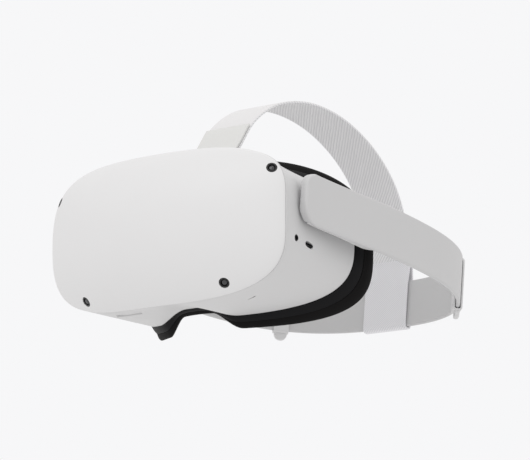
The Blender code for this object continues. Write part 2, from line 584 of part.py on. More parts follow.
def band_outline():
    """(x, v) of the whole outer face, from the wearer's left end to the right one, and inward normals."""
    ends = BAND_FRONT_V + np.array([0.0, 0.0005, 0.0020, 0.0045, END_LENGTH, END_LENGTH + 0.0020])
    side = np.concatenate([ends, np.linspace(ends[-1], BAND_SIDE_V, 9)[1:]])
    left = np.stack([band_side_x(side), side], axis=1)
    angle = np.linspace(0, math.pi / 2, 600)
    curve = band_back(angle)
    length = np.concatenate([[0], np.cumsum(np.linalg.norm(np.diff(curve, axis=0), axis=1))])
    even = np.linspace(0, length[-1], 19)[1:]
    curve = np.stack([np.interp(even, length, curve[:, k]) for k in (0, 1)], axis=1)
    left = np.concatenate([left, curve])
    whole = np.concatenate([left, left[-2::-1] * (-1, 1)])
    along = np.gradient(whole, axis=0)
    inward = np.stack([-along[:, 1], along[:, 0]], axis=1)
    return whole, inward / np.linalg.norm(inward, axis=1, keepdims=True)


def strip_section(point, inward, thick, height, chamfer):
    """A chamfered upright rectangle across a strip, from its outer face inwards."""
    deep, half, c = thick, height / 2, chamfer
    corners = ((0, half - c), (c, half), (deep - c, half), (deep, half - c),
               (deep, c - half), (deep - c, -half), (c, -half), (0, c - half))
    return [(point[0] + inward[0] * d, point[1] + inward[1] * d, w) for d, w in corners]


def make_band():
    whole, inward = band_outline()
    step = np.linalg.norm(np.diff(whole, axis=0), axis=1)
    from_start = np.concatenate([[0], np.cumsum(step)])
    from_end = np.minimum(from_start, from_start[-1] - from_start)
    rings = []
    for point, normal, distance in zip(whole, inward, from_end):
        corner = max(0.0, END_CORNER - distance)
        height = BAND_HEIGHT - 2 * (END_CORNER - math.sqrt(END_CORNER ** 2 - corner ** 2))
        thick = END_THICK - (END_THICK - BAND_THICK) * smoothstep(END_LENGTH, END_LENGTH + 0.002, distance)
        rings.append(strip_section(point, normal, thick, height, 0.0008))
    add("strap_band", loft("strap_band", rings, "capped"), BAND, strap_pivot)


def make_arms():
    """The rigid arms inside the band's ends: each turns on a post of the housing and holds a speaker."""
    start, stop = BAND_FRONT_V + END_LENGTH + 0.0026, 0.0780
    for name, side in (("left", 1), ("right", -1)):
        rings = []
        for v in np.linspace(start, stop, 12):
            outer = band_side_x(v) - BAND_THICK - 0.0004
            inner = 0.0923 + 0.0012 * smoothstep(0.005, 0.030, v)
            inner += (outer - 0.0012 - inner) * smoothstep(0.060, stop, v)
            half = 0.0152 - 0.0035 * smoothstep(0.050, stop, v)
            c = min(0.0008, (outer - inner) / 3)
            corners = ((outer, half - c), (outer - c, half), (inner + c, half), (inner, half - c),
                       (inner, c - half), (inner + c, -half), (outer - c, -half), (outer, c - half))
            rings.append([(side * x, v, w) for x, w in corners])
        arm = add(name + "_arm", loft(name + "_arm", rings, "capped"), WHITE, strap_pivot)
        cut_round(arm, PIVOT_RADIUS + 0.0004, 0.020, "X", (side * 0.0935, 0, 0), strap_pivot)
        cut_box(arm, (0.010, 0.0270, 0.0140), (side * 0.0999, 0.0450, 0), strap_pivot)
        for row in (-1, 0, 1):
            cut_box(arm, (0.006, 0.0120, 0.0010), (side * 0.0940, 0.0450, row * 0.0030), strap_pivot)
        speaker = add(name + "_speaker", box_mesh("speaker", (0.0022, 0.0260, 0.0130)), BLACK, strap_pivot,
                      (side * 0.0964, 0.0450, 0))
        soften(speaker, 0.0004, 1)
        post = ((0.0, POST_LENGTH), (PIVOT_RADIUS, POST_LENGTH), (PIVOT_RADIUS, 0.0020), (0.0075, 0.0020),
                (0.0075, 0.0), (0.0, 0.0))
        turned(name + "_pivot_post", post, STEEL, (side * POST_X, PIVOT_Y, PIVOT_Z),
               (0, side * math.pi / 2, 0), steps=24)


def make_sliders():
    """A loop on each side of the back of the band, with a round finger tab below."""
    step = 0.02
    before, here, after = band_back(np.array([SLIDER_ANGLE - step, SLIDER_ANGLE, SLIDER_ANGLE + step]))
    a, b, c = (np.linalg.norm(p) for p in (before - here, after - here, before - after))
    area = abs(np.cross(here - before, after - before)) / 2
    radius = a * b * c / (4 * area)
    along = (after - before) / np.linalg.norm(after - before)
    outward = np.array([along[1], -along[0]])
    centre = here - outward * radius
    turn = math.atan2(outward[1], outward[0])
    middle = radius - BAND_THICK / 2
    for name, side in (("left", 1), ("right", -1)):
        spin = (0, 0, turn if side > 0 else math.pi - turn)
        place = (side * centre[0], centre[1], 0)
        mesh = box_mesh("slider", (0.0064, 0.0110, BAND_HEIGHT + 0.0042), (middle, 0, 0))
        slider = add(name + "_slider", mesh, WHITE, strap_pivot, place, spin)
        soften(slider, 0.0010, 2)
        tab = cylinder_mesh("slider_tab", 0.0046, 0.0032, "X", (middle, 0, -BAND_HEIGHT / 2 - 0.0021), 20)
        join(slider, tab, strap_pivot, place, spin)
        hole = box_mesh("slider_hole", (BAND_THICK + 0.0010, 0.030, BAND_HEIGHT + 0.0008), (middle, 0, 0))
        boolean(slider, add("slider_hole", hole, None, strap_pivot, place, spin, helper=True))


def flat_plate(name, outlines, thickness):
    """A plate from closed (u, w) outlines, the first outside and the others holes, centred across X."""
    curve = bpy.data.curves.new(name, "CURVE")
    curve.dimensions, curve.fill_mode, curve.extrude = "2D", "BOTH", thickness / 2
    for points in outlines:
        spline = curve.splines.new("POLY")
        spline.points.add(len(points) - 1)
        spline.use_cyclic_u = True
        for target, (u, w) in zip(spline.points, points):
            target.co = (u, w, 0, 1)
    holder = bpy.data.objects.new(name, curve)
    cutters.objects.link(holder)
    graph = bpy.context.evaluated_depsgraph_get()
    mesh = bpy.data.meshes.new_from_object(holder.evaluated_get(graph))
    bpy.data.objects.remove(holder, do_unlink=True)
    shape = bmesh.new()
    shape.from_mesh(mesh)
    bmesh.ops.remove_doubles(shape, verts=shape.verts, dist=0.00001)
    shape.transform(Matrix(((0, 0, 1, 0), (1, 0, 0, 0), (0, 1, 0, 0), (0, 0, 0, 1))))
    return from_bmesh(shape, name)


def make_rear_sleeve():
    """The woven loop round the back of the band. Its two layers meet above, where the top strap joins."""
    middle, foot, thick = BAND_BACK_V - 0.0014, -BAND_HEIGHT / 2 - 0.0004, 0.0013
    room = 0.0024
    hole = ((middle - room, foot), (middle + room, foot), (middle + room, 0.0165), (middle + 0.0002, 0.0275),
            (middle - 0.0002, 0.0275), (middle - room, 0.0165))
    wide = room + thick
    outside = ((middle - wide + 0.001, foot - thick), (middle + wide - 0.001, foot - thick),
               (middle + wide, foot - thick + 0.001), (middle + wide, 0.0168), (middle + 0.0016, 0.0300),
               (middle - 0.0016, 0.0300), (middle - wide, 0.0168), (middle - wide, foot - thick + 0.001))
    add("rear_sleeve", flat_plate("rear_sleeve", (outside, hole), TOP_STRAP_WIDTH), WEBBING, strap_pivot)


def strap_curve(shares):
    """Points on the top strap's path, a smooth curve through its few corner points."""
    knots = np.array(TOP_STRAP_PATH)
    ends = np.vstack([2 * knots[0] - knots[1], knots, 2 * knots[-1] - knots[-2]])
    where = np.clip(np.asarray(shares) * (len(knots) - 1), 0, len(knots) - 1 - 1e-9)
    i, t = where.astype(int), (where % 1)[:, None]
    p0, p1, p2, p3 = (ends[i + k] for k in range(4))
    return 0.5 * (2 * p1 + (p2 - p0) * t + (2 * p0 - 5 * p1 + 4 * p2 - p3) * t ** 2
                  + (3 * p1 - p0 - 3 * p2 + p3) * t ** 3)


def webbing(name, first, last, rows, outward, thick, parent, finish=WEBBING):
    """A strip of the top strap between two shares of its path, raised by outward from its middle line."""
    path = strap_curve(np.linspace(first, last, rows))
    along = np.gradient(path, axis=0)
    normal = np.stack([-along[:, 1], along[:, 0]], axis=1)
    normal /= np.linalg.norm(normal, axis=1, keepdims=True)
    half = TOP_STRAP_WIDTH / 2
    rings = []
    for (y, z), (ny, nz) in zip(path, normal):
        corners = ((-half, -thick / 2), (half, -thick / 2), (half, thick / 2), (-half, thick / 2))
        rings.append([(x, y + ny * (d + outward), z + nz * (d + outward)) for x, d in corners])
    if parent is strap_pivot:
        to_strap = Matrix.Rotation(STRAP_SLOPE, 4, "X") @ Matrix.Translation((0, -PIVOT_Y, -PIVOT_Z))
        rings = [[tuple(to_strap @ Vector(point)) for point in row] for row in rings]
    add(name, loft(name, rings, "capped"), finish, parent)


def make_top_strap():
    """Webbing from the anchor over the head, with its loose end folded back over the front as a tab."""
    fixed, tilting = STRAP_SPLIT
    webbing("top_strap_front", 0.012, fixed, 8, 0, TOP_STRAP_THICK, headset_frame)
    webbing("top_strap_tab", 0.045, fixed, 8, TOP_STRAP_THICK + GAP, TOP_STRAP_THICK, headset_frame)
    webbing("top_strap", tilting, 1.0, 27, 0, TOP_STRAP_THICK, strap_pivot)
    anchor = add("strap_anchor", box_mesh("strap_anchor", (0.044, 0.0070, 0.0036)), GREY,
                 location=(0, 0.0790, 0.0488))
    soften(anchor, 0.0008, 2)
    cut_box(anchor, (0.0372, 0.0034, 0.010), (0, 0.0815, 0.0488), rotation=(-0.69, 0, 0))


# ---- build -----------------------------------------------------------------------------------------------

front_shell = make_front_shell()
make_tracking_cameras(front_shell)
make_rear_housing()
make_sockets_and_controls()
make_mid_frame()
make_lens_panel()
make_lenses()
make_electronics()
make_interface()
make_band()
make_arms()
make_sliders()
make_rear_sleeve()
make_top_strap()
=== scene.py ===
# %% [markdown]
# # A virtual-reality headset, surfaced around its working frame
#
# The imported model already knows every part's place, size and joint. This lesson puts the finished surfaces
# on it: moulded shells, foam, an elastic band and woven webbing. Each step says what the piece is on the
# real object, how it could be made, and why it is made this way here.
#
# All lengths are metres. The headset looks along -Y and +X is the wearer's left side.

# %% Load the frame
import json
import math

import bmesh
import bpy
import numpy as np
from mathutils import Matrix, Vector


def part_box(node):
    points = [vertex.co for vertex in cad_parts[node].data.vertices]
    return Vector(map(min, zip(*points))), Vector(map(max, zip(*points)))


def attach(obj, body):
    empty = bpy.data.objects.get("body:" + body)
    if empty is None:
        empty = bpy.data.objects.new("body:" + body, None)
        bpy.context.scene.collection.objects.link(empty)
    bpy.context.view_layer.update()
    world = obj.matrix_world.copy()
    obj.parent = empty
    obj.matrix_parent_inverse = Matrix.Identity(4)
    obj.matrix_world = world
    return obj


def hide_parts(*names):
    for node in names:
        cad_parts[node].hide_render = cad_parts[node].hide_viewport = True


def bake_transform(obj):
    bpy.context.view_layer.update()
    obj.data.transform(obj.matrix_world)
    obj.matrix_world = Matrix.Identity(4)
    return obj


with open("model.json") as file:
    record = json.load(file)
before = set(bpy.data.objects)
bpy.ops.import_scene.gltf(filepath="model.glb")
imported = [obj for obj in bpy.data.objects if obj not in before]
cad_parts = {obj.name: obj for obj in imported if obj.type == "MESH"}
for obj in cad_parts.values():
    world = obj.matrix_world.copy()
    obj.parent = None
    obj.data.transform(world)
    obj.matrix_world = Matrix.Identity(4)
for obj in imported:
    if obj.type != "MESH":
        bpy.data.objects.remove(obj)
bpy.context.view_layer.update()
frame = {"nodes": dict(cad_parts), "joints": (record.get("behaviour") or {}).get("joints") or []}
joints = {joint["name"]: joint for joint in frame["joints"]}

# %% [markdown]
# ## Where things are measured from
#
# The shells were drawn in their own layout: a depth that starts a little in front of the face, and height
# over the middle of the face. The front shell's box gives its foremost point, so nothing has to be fitted.
# The strap has a second layout on its hinge: V runs back along the arms and W up across the band. The tilt
# joint gives the hinge, and a slider's axis is the band's own upright direction, which gives the slope.

# %% The two layouts
FACE_SETBACK = 0.0085                      # from the layout's start to the middle of the face
shell_low, shell_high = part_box("front_shell")
FACE_ORIGIN = np.array([0.0, shell_low.y - FACE_SETBACK, (shell_low.z + shell_high.z) / 2])
SIDEWAYS, UP = (1.0, 0.0, 0.0), (0.0, 0.0, 1.0)
STRAP_ORIGIN = np.array(joints["strap_tilt"]["pos_m"])
_, upright_y, upright_z = joints["left_slider_move"]["axis"]
STRAP_SLOPE = math.atan2(upright_y, upright_z)


def from_face(points):
    """Face layout to world: a plain shift."""
    return np.asarray(points, float) + FACE_ORIGIN


def from_strap(points):
    """Strap layout (x, v, w) to world: turned down by the slope about X, then shifted to the hinge."""
    x, v, w = np.moveaxis(np.asarray(points, float), -1, 0)
    c, s = math.cos(STRAP_SLOPE), math.sin(STRAP_SLOPE)
    return np.stack([x, v * c + w * s, w * c - v * s], axis=-1) + STRAP_ORIGIN


print("face origin", FACE_ORIGIN.round(4), "hinge", STRAP_ORIGIN.round(4), "slope", round(STRAP_SLOPE, 3))

# %% [markdown]
# ## Camera
#
# A long lens from low on the wearer's left makes the front look calm and lets the band sweep round behind.
# The camera stands lower than the headset, so it looks slightly up at it.

# %% Camera
AZIMUTH, ELEVATION = math.radians(37.205), math.radians(-11.476)
DISTANCE, LENS = 1.8153, 196.7
AIM_RIGHT, AIM_UP = 0.08833, -0.00429      # from the face origin, in the picture's own directions

toward_camera = np.array([math.sin(AZIMUTH) * math.cos(ELEVATION), -math.cos(AZIMUTH) * math.cos(ELEVATION),
                          math.sin(ELEVATION)])
picture_right = np.array([math.cos(AZIMUTH), math.sin(AZIMUTH), 0.0])
picture_up = np.cross(toward_camera, picture_right)
aim = FACE_ORIGIN + AIM_RIGHT * picture_right + AIM_UP * picture_up

camera = bpy.data.objects.new("camera", bpy.data.cameras.new("camera"))
camera.data.lens, camera.data.sensor_width = LENS, 36.0
camera.location = aim + DISTANCE * toward_camera
camera.rotation_euler = (math.pi / 2 - ELEVATION, 0, AZIMUTH)
bpy.context.scene.collection.objects.link(camera)
bpy.context.scene.camera = camera
bpy.context.view_layer.update()
print("camera at", [round(value, 3) for value in camera.location])

# %% [markdown]
# ## Surfaces from arrays
#
# A surface here is an array of points with rows and columns. Every quad joins a point to its neighbours in
# the next row and the next column. Where a row shrinks to one point or one line, or where the last row
# meets the first, the doubled points are merged afterwards, so poles and seams come out closed. One helper
# does this for every piece, and one more hands a finished piece to its body.

# %% Helpers for surfaces
def surface(name, grid, rows_closed=False, columns_closed=True, uv=None):
    """A mesh from a (rows, columns, 3) array: quads between neighbours, doubles merged, faces outwards.
    uv is a matching (rows, columns, 2) array in metres; a seam column takes its own value from uv's end."""
    rows, columns = grid.shape[:2]
    i = np.arange(rows if rows_closed else rows - 1)[:, None]
    j = np.arange(columns if columns_closed else columns - 1)[None, :]
    corners = [(i, j), (i, j + 1), (i + 1, j + 1), (i + 1, j)]
    quads = np.stack([(a % rows) * columns + b % columns for a, b in corners], axis=-1).reshape(-1, 4)
    mesh = bpy.data.meshes.new(name)
    mesh.from_pydata(grid.reshape(-1, 3), [], quads)
    if uv is not None:
        layer = mesh.uv_layers.new(name="weave")
        flat = [uv[np.minimum(a, uv.shape[0] - 1) + 0 * b, np.minimum(b, uv.shape[1] - 1) + 0 * a]
                for a, b in corners]
        layer.data.foreach_set("uv", np.stack(flat, axis=2).reshape(-1).astype(np.float32))
    tidy_mesh(mesh)
    made = bpy.data.objects.new(name, mesh)
    bpy.context.scene.collection.objects.link(made)
    return made


def tidy_mesh(mesh):
    """Merges doubled points, drops faces that vanished and turns all faces outwards."""
    work = bmesh.new()
    work.from_mesh(mesh)
    bmesh.ops.remove_doubles(work, verts=work.verts, dist=0.000002)
    bmesh.ops.dissolve_degenerate(work, edges=work.edges, dist=0.0000005)
    bmesh.ops.recalc_face_normals(work, faces=work.faces)
    work.to_mesh(mesh)
    work.free()
    mesh.shade_smooth()


def finish_piece(piece, body, slot, material, *stands_for):
    """Gives a piece its material and body, and hides the plain solids that it stands for. slot is not used.
    """
    if material is not None:
        piece.data.materials.append(material)
    if stands_for:
        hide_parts(*stands_for)
    if body is not None:
        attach(piece, body)
    loose = open_edges(piece.data)
    print(f"{piece.name}: {len(piece.data.polygons)} faces" + (f", {loose} OPEN EDGES" if loose else ""))
    return piece


def open_edges(mesh):
    """How many edges don't have exactly two faces: none on a closed piece."""
    uses = np.zeros(len(mesh.edges), int)
    edge_of_loop = np.empty(len(mesh.loops), np.int32)
    mesh.loops.foreach_get("edge_index", edge_of_loop)
    np.add.at(uses, edge_of_loop, 1)
    return int((uses != 2).sum())


def smoothstep(low, high, value):
    share = np.clip((value - low) / (high - low), 0, 1)
    return share * share * (3 - 2 * share)


def unit(vectors):
    return vectors / np.maximum(np.linalg.norm(vectors, axis=-1, keepdims=True), 1e-12)


def walked(points):
    """Distance along a polyline at each of its points: the running sum of the steps."""
    return np.concatenate([[0], np.cumsum(np.linalg.norm(np.diff(points, axis=0), axis=1))])


def at_distances(points, length, distances):
    """Points at given distances along a flat polyline whose own distances are length."""
    return np.stack([np.interp(distances, length, points[:, k]) for k in (0, 1)], axis=1)


def loop_directions(points):
    """The direction of travel round a closed loop, from each point's two neighbours."""
    return unit(np.roll(points, -1, axis=0) - np.roll(points, 1, axis=0))


def everywhere(direction, path):
    """One direction, repeated for each point of a path."""
    return np.broadcast_to(direction, path.shape)


def face_vectors(piece, what):
    """The centre or the normal of each face, as rows of three."""
    values = np.empty(len(piece.data.polygons) * 3, np.float32)
    piece.data.polygons.foreach_get(what, values)
    return values.reshape(-1, 3)


def crisp(piece, degrees):
    """Keeps the edges sharper than an angle crisp."""
    piece.data.set_sharp_from_angle(angle=math.radians(degrees))

# %% [markdown]
# ## Rounded corners for any loop
#
# Most of these parts are a few rings of points with flat or gently curved walls between them. A moulded part
# has no knife edges, so each ring is replaced by a short arc: a curve from a little before the ring to a
# little after it, bending at the ring itself. It works for a whole ring at once, because each step is a
# weighted sum of arrays.

# %% Rings to rows with rounded edges
def rounded_rows(rings, radii, closed, steps=5):
    """Rows through rings with every corner eased. Each corner is a quadratic curve from the point at
    distance radius before it to the point at distance radius after it, with the corner as its handle."""
    count, rows = len(rings), []
    for k, (ring_here, radius) in enumerate(zip(rings, radii)):
        if not closed and k in (0, count - 1) or radius == 0:
            rows.append(ring_here)
            continue
        before, after = rings[(k - 1) % count], rings[(k + 1) % count]
        reach = [np.minimum(radius, 0.45 * np.linalg.norm(side - ring_here, axis=-1, keepdims=True))
                 for side in (before, after)]
        start = ring_here + reach[0] * unit(before - ring_here)
        end = ring_here + reach[1] * unit(after - ring_here)
        for t in np.linspace(0, 1, steps):
            rows.append((1 - t) ** 2 * start + 2 * t * (1 - t) * ring_here + t ** 2 * end)
    return np.array(rows)


def between(first, last, steps):
    """Rows evenly from one ring to another, without the two rings themselves."""
    shares = np.linspace(0, 1, steps + 2)[1:-1, None, None]
    return list(first + shares * (last - first))


def carve(piece, cutters):
    """Cuts closed meshes out of a piece and keeps crisp edges round the cuts."""
    for cutter in cutters:
        step = piece.modifiers.new("cut", "BOOLEAN")
        step.operation, step.solver, step.object = "DIFFERENCE", "EXACT", cutter
    graph = bpy.context.evaluated_depsgraph_get()
    mesh = bpy.data.meshes.new_from_object(piece.evaluated_get(graph))
    piece.modifiers.clear()
    work = bmesh.new()
    work.from_mesh(mesh)
    bmesh.ops.remove_doubles(work, verts=work.verts, dist=0.000001)
    bmesh.ops.dissolve_degenerate(work, edges=work.edges, dist=0.0000005)
    bmesh.ops.holes_fill(work, edges=[edge for edge in work.edges if edge.is_boundary], sides=0)
    work.to_mesh(mesh)
    work.free()
    piece.data = mesh
    for cutter in cutters:
        bpy.data.objects.remove(cutter, do_unlink=True)
    mesh.set_sharp_from_angle(angle=math.radians(38))
    return piece

# %% [markdown]
# ## Turned parts and pills
#
# Camera rings, lenses, sockets and barrels are turned: a profile of radius and height carried round an axis.
# Buttons and tabs are pills, a ball whose squareness can be chosen along and across. Both are a formula in
# two angles, so a single array holds the whole part.

# %% Turned parts and pills
def axes_for(direction):
    """Three unit vectors with the third along direction."""
    out = unit(np.asarray(direction, float))
    side = unit(np.cross((0.0, 0.0, 1.0) if abs(out[2]) < 0.9 else (1.0, 0.0, 0.0), out))
    return side, np.cross(out, side), out


def turned(name, profile, centre, direction, around=96):
    """Points centre + height x direction + radius x (cos t, sin t) in the plane across it. A profile that
    starts and ends on the axis closes at two poles; any other one is closed on itself."""
    profile = np.array(profile, float)
    on_axis = profile[0, 0] == 0 and profile[-1, 0] == 0
    side, over, out = axes_for(direction)
    t = np.linspace(0, 2 * math.pi, around, endpoint=False)
    spoke = np.cos(t)[:, None] * side + np.sin(t)[:, None] * over
    grid = centre + profile[:, 0, None, None] * spoke + profile[:, 1, None, None] * out
    return surface(name, grid, rows_closed=not on_axis)


def pill(name, centre, half_sizes, squareness=(4.0, 4.0), slope=0.0, around=64, rows=32):
    """A superellipsoid: signed powers of sines and cosines of latitude and longitude, scaled by the three
    half sizes. Squareness 2 is a ball and larger values are boxier. slope turns it about X."""
    lat = np.linspace(-math.pi / 2, math.pi / 2, rows)[:, None]
    lon = np.linspace(0, 2 * math.pi, around, endpoint=False)[None, :]

    def power(value, squareness):
        return np.sign(value) * np.abs(value) ** (2 / squareness)
    flat = power(np.cos(lat), squareness[1])
    grid = np.stack([half_sizes[0] * flat * power(np.cos(lon), squareness[0]),
                     half_sizes[1] * flat * power(np.sin(lon), squareness[0]),
                     half_sizes[2] * power(np.sin(lat), squareness[1]) + 0 * lon], axis=-1)
    c, s = math.cos(slope), math.sin(slope)
    turn = np.array([[1, 0, 0], [0, c, -s], [0, s, c]])
    return surface(name, grid @ turn.T + centre)


def box_cutter(centre, size, slope=0.0):
    """A plain closed box for cutting."""
    work = bmesh.new()
    bmesh.ops.create_cube(work, size=1)
    c, s = math.cos(slope), math.sin(slope)
    for vert in work.verts:
        x, y, z = (value * length for value, length in zip(vert.co, size))
        vert.co = (centre[0] + x, centre[1] + y * c - z * s, centre[2] + y * s + z * c)
    mesh = bpy.data.meshes.new("cutter")
    work.to_mesh(mesh)
    work.free()
    made = bpy.data.objects.new("cutter", mesh)
    bpy.context.scene.collection.objects.link(made)
    return made


def round_cutter(centre, direction, radius, length, around=64):
    """A closed cylinder for cutting, centred on a point."""
    half = length / 2
    profile = ((0, half), (radius, half), (radius, -half), (0, -half))
    return turned("cutter", profile, centre, direction, around)

# %% [markdown]
# ## Finishes: the shared effects
#
# Two effects are used again and again, so each is a node group, built once. Moulded plastic is never one
# flat colour: it has a fine grain of a fifth of a millimetre, a faint cloudiness where it cooled, and a
# roughness that changes where hands polish it. Woven cloth is ribs that lie at an angle to the strip, crossed
# by finer threads. The groups only put out colours, values and normals, and each finish keeps its own shader.

# %% Node helpers
def add_node(tree, kind, settings=(), **inputs):
    """A node with its settings and its inputs: a value fills an input, and a socket is linked to it.
    An input is named by its label, or by i and its number where labels repeat."""
    made = tree.nodes.new(kind)
    for name, value in dict(settings).items():
        setattr(made, name, value)
    for name, value in inputs.items():
        by_number = name[0] == "i" and name[1:].isdigit()
        socket = made.inputs[int(name[1:]) if by_number else name.replace("_", " ")]
        if isinstance(value, bpy.types.NodeSocket):
            tree.links.new(value, socket)
        else:
            socket.default_value = value
    return made


def maths(tree, operation, first, second=0.0):
    return add_node(tree, "ShaderNodeMath", {"operation": operation}, i0=first, i1=second).outputs[0]


def new_group(name, inputs, outputs):
    """An empty node group with named sockets: inputs and outputs are (name, type, default) rows."""
    tree = bpy.data.node_groups.new(name, "ShaderNodeTree")
    for label, kind, default in inputs:
        socket = tree.interface.new_socket(label, in_out="INPUT", socket_type=kind)
        socket.default_value = default
    for label, kind in outputs:
        tree.interface.new_socket(label, in_out="OUTPUT", socket_type=kind)
    return tree, tree.nodes.new("NodeGroupInput").outputs, tree.nodes.new("NodeGroupOutput").inputs


FLOAT, COLOUR, VECTOR = "NodeSocketFloat", "NodeSocketColor", "NodeSocketVector"

# %% [markdown]
# ## Moulded grain
#
# A mould that is spark eroded leaves shallow pits, and polished steel leaves none. Both can be had from one
# noise at the size of the pits, used as a bump. The clouds and the rubbed patches are slower noises.

# %% Moulded grain
def make_grain_group():
    """Colour clouded by slow noise, roughness rubbed by patches, and a normal from fine grain."""
    rows = (("Colour", COLOUR, (0.7, 0.7, 0.7, 1)), ("Cloud", FLOAT, 0.03), ("Roughness", FLOAT, 0.45),
            ("Rub", FLOAT, 0.08), ("Grain size", FLOAT, 0.00022), ("Grain height", FLOAT, 0.00001))
    tree, given, out = new_group("moulded_grain", rows,
                                 (("Colour", COLOUR), ("Roughness", FLOAT), ("Normal", VECTOR)))
    place = add_node(tree, "ShaderNodeTexCoord").outputs["Object"]
    cloud = add_node(tree, "ShaderNodeTexNoise", Vector=place, Scale=22.0, Detail=3.0).outputs["Fac"]
    speck = add_node(tree, "ShaderNodeTexNoise", Vector=place, Scale=1400.0, Detail=2.0).outputs["Fac"]
    mixed = maths(tree, "ADD", maths(tree, "MULTIPLY", cloud, 0.6), maths(tree, "MULTIPLY", speck, 0.4))
    spread = maths(tree, "MULTIPLY", maths(tree, "SUBTRACT", mixed, 0.5), given["Cloud"])
    factor = maths(tree, "ADD", maths(tree, "MULTIPLY", spread, 4.0), 1.0)
    scaled = add_node(tree, "ShaderNodeVectorMath", {"operation": "SCALE"}, i0=given["Colour"], Scale=factor)
    tree.links.new(scaled.outputs["Vector"], out["Colour"])
    patches = add_node(tree, "ShaderNodeTexNoise", Vector=place, Scale=60.0, Detail=4.0).outputs["Fac"]
    rubbed = maths(tree, "MULTIPLY", maths(tree, "SUBTRACT", patches, 0.5), given["Rub"])
    tree.links.new(maths(tree, "ADD", given["Roughness"], rubbed), out["Roughness"])
    size = maths(tree, "DIVIDE", 1.0, given["Grain size"])
    grain = add_node(tree, "ShaderNodeTexNoise", Vector=place, Scale=size, Detail=2.0).outputs["Fac"]
    height = maths(tree, "MULTIPLY", grain, given["Grain height"])
    bump = add_node(tree, "ShaderNodeBump", Strength=1.0, Distance=1.0, Height=height)
    tree.links.new(bump.outputs["Normal"], out["Normal"])
    return tree


GRAIN = make_grain_group()

# %% [markdown]
# ## Woven cloth
#
# A weave could be modelled thread by thread, but a strap has tens of thousands of crossings. Here it is a
# sum of waves in the strip's own map, so the ribs keep their width and angle all the way along, however the
# strip bends.

# %% Woven cloth
def make_weave_group():
    """Ribs at an angle to the strip, sin(2 pi (u cos + v sin) / pitch), crossed by finer threads.
    u runs across the strip and v along it, both in metres, from the piece's own map."""
    rows = (("Colour", COLOUR, (0.7, 0.7, 0.7, 1)), ("Hollow shade", COLOUR, (0.45, 0.45, 0.46, 1)),
            ("Pitch", FLOAT, 0.002), ("Angle", FLOAT, 0.9), ("Thread", FLOAT, 0.0007),
            ("Height", FLOAT, 0.00012), ("Roughness", FLOAT, 0.85))
    tree, given, out = new_group("woven_cloth", rows,
                                 (("Colour", COLOUR), ("Roughness", FLOAT), ("Normal", VECTOR)))
    uv = add_node(tree, "ShaderNodeUVMap", {"uv_map": "weave"}).outputs["UV"]
    place = add_node(tree, "ShaderNodeTexCoord").outputs["Object"]
    u, v, _ = add_node(tree, "ShaderNodeSeparateXYZ", Vector=uv).outputs
    wander = add_node(tree, "ShaderNodeTexNoise", Vector=place, Scale=90.0, Detail=2.0).outputs["Fac"]
    wander = maths(tree, "MULTIPLY", maths(tree, "SUBTRACT", wander, 0.5), 0.0010)
    along = maths(tree, "ADD", maths(tree, "MULTIPLY", u, maths(tree, "COSINE", given["Angle"])),
                  maths(tree, "MULTIPLY", v, maths(tree, "SINE", given["Angle"])))
    along = maths(tree, "ADD", along, wander)

    def wave(distance, pitch):
        turns = maths(tree, "MULTIPLY", maths(tree, "DIVIDE", distance, pitch), 2 * math.pi)
        return maths(tree, "ADD", maths(tree, "MULTIPLY", maths(tree, "SINE", turns), 0.5), 0.5)
    rib = wave(along, given["Pitch"])
    crossing = maths(tree, "MULTIPLY", wave(v, given["Thread"]), wave(u, given["Thread"]))
    fuzz = add_node(tree, "ShaderNodeTexNoise", Vector=place, Scale=2600.0, Detail=3.0).outputs["Fac"]
    level = maths(tree, "ADD", maths(tree, "MULTIPLY", rib, 0.65), maths(tree, "MULTIPLY", crossing, 0.2))
    level = maths(tree, "ADD", level, maths(tree, "MULTIPLY", fuzz, 0.15))
    # Where the weave is low the colour goes to the hollow shade colour: painted shade in the hollows between
    # ribs and threads, with the fuzz adding random tone.
    mix = add_node(tree, "ShaderNodeMix", {"data_type": "RGBA"})
    tree.links.new(level, mix.inputs["Factor"])
    tree.links.new(given["Hollow shade"], mix.inputs[6])
    tree.links.new(given["Colour"], mix.inputs[7])
    tree.links.new(mix.outputs[2], out["Colour"])
    frayed = maths(tree, "MULTIPLY", maths(tree, "SUBTRACT", fuzz, 0.5), 0.15)
    tree.links.new(maths(tree, "ADD", given["Roughness"], frayed), out["Roughness"])
    bump = add_node(tree, "ShaderNodeBump", Strength=1.0, Distance=1.0,
                    Height=maths(tree, "MULTIPLY", level, given["Height"]))
    tree.links.new(bump.outputs["Normal"], out["Normal"])
    return tree


WEAVE = make_weave_group()

# %% [markdown]
# ## Finishes: one short function for each kind
#
# Each finish is a Principled shader fed by a group. What is the same all over, such as a sheen or a metal
# value, is set on the shader itself.

# %% Finishes
def finish(name, group, values, **shader_values):
    """A material whose group drives colour, roughness and normal; the rest is set on the shader."""
    made = bpy.data.materials.new(name)
    made.use_nodes = True
    tree = made.node_tree
    shader = tree.nodes["Principled BSDF"]
    source = tree.nodes.new("ShaderNodeGroup")
    source.node_tree = group
    for label, value in values.items():
        source.inputs[label].default_value = (*value, 1) if isinstance(value, tuple) else value
    for label, socket in (("Colour", "Base Color"), ("Roughness", "Roughness"), ("Normal", "Normal")):
        tree.links.new(source.outputs[label], shader.inputs[socket])
    for label, value in shader_values.items():
        shader.inputs[label.replace("_", " ")].default_value = value
    return made


def moulded(name, colour, roughness, cloud=0.012, rub=0.10, size=0.00022, height=0.000008, **more):
    values = {"Colour": colour, "Cloud": cloud, "Roughness": roughness, "Rub": rub, "Grain size": size,
              "Grain height": height}
    return finish(name, GRAIN, values, **more)


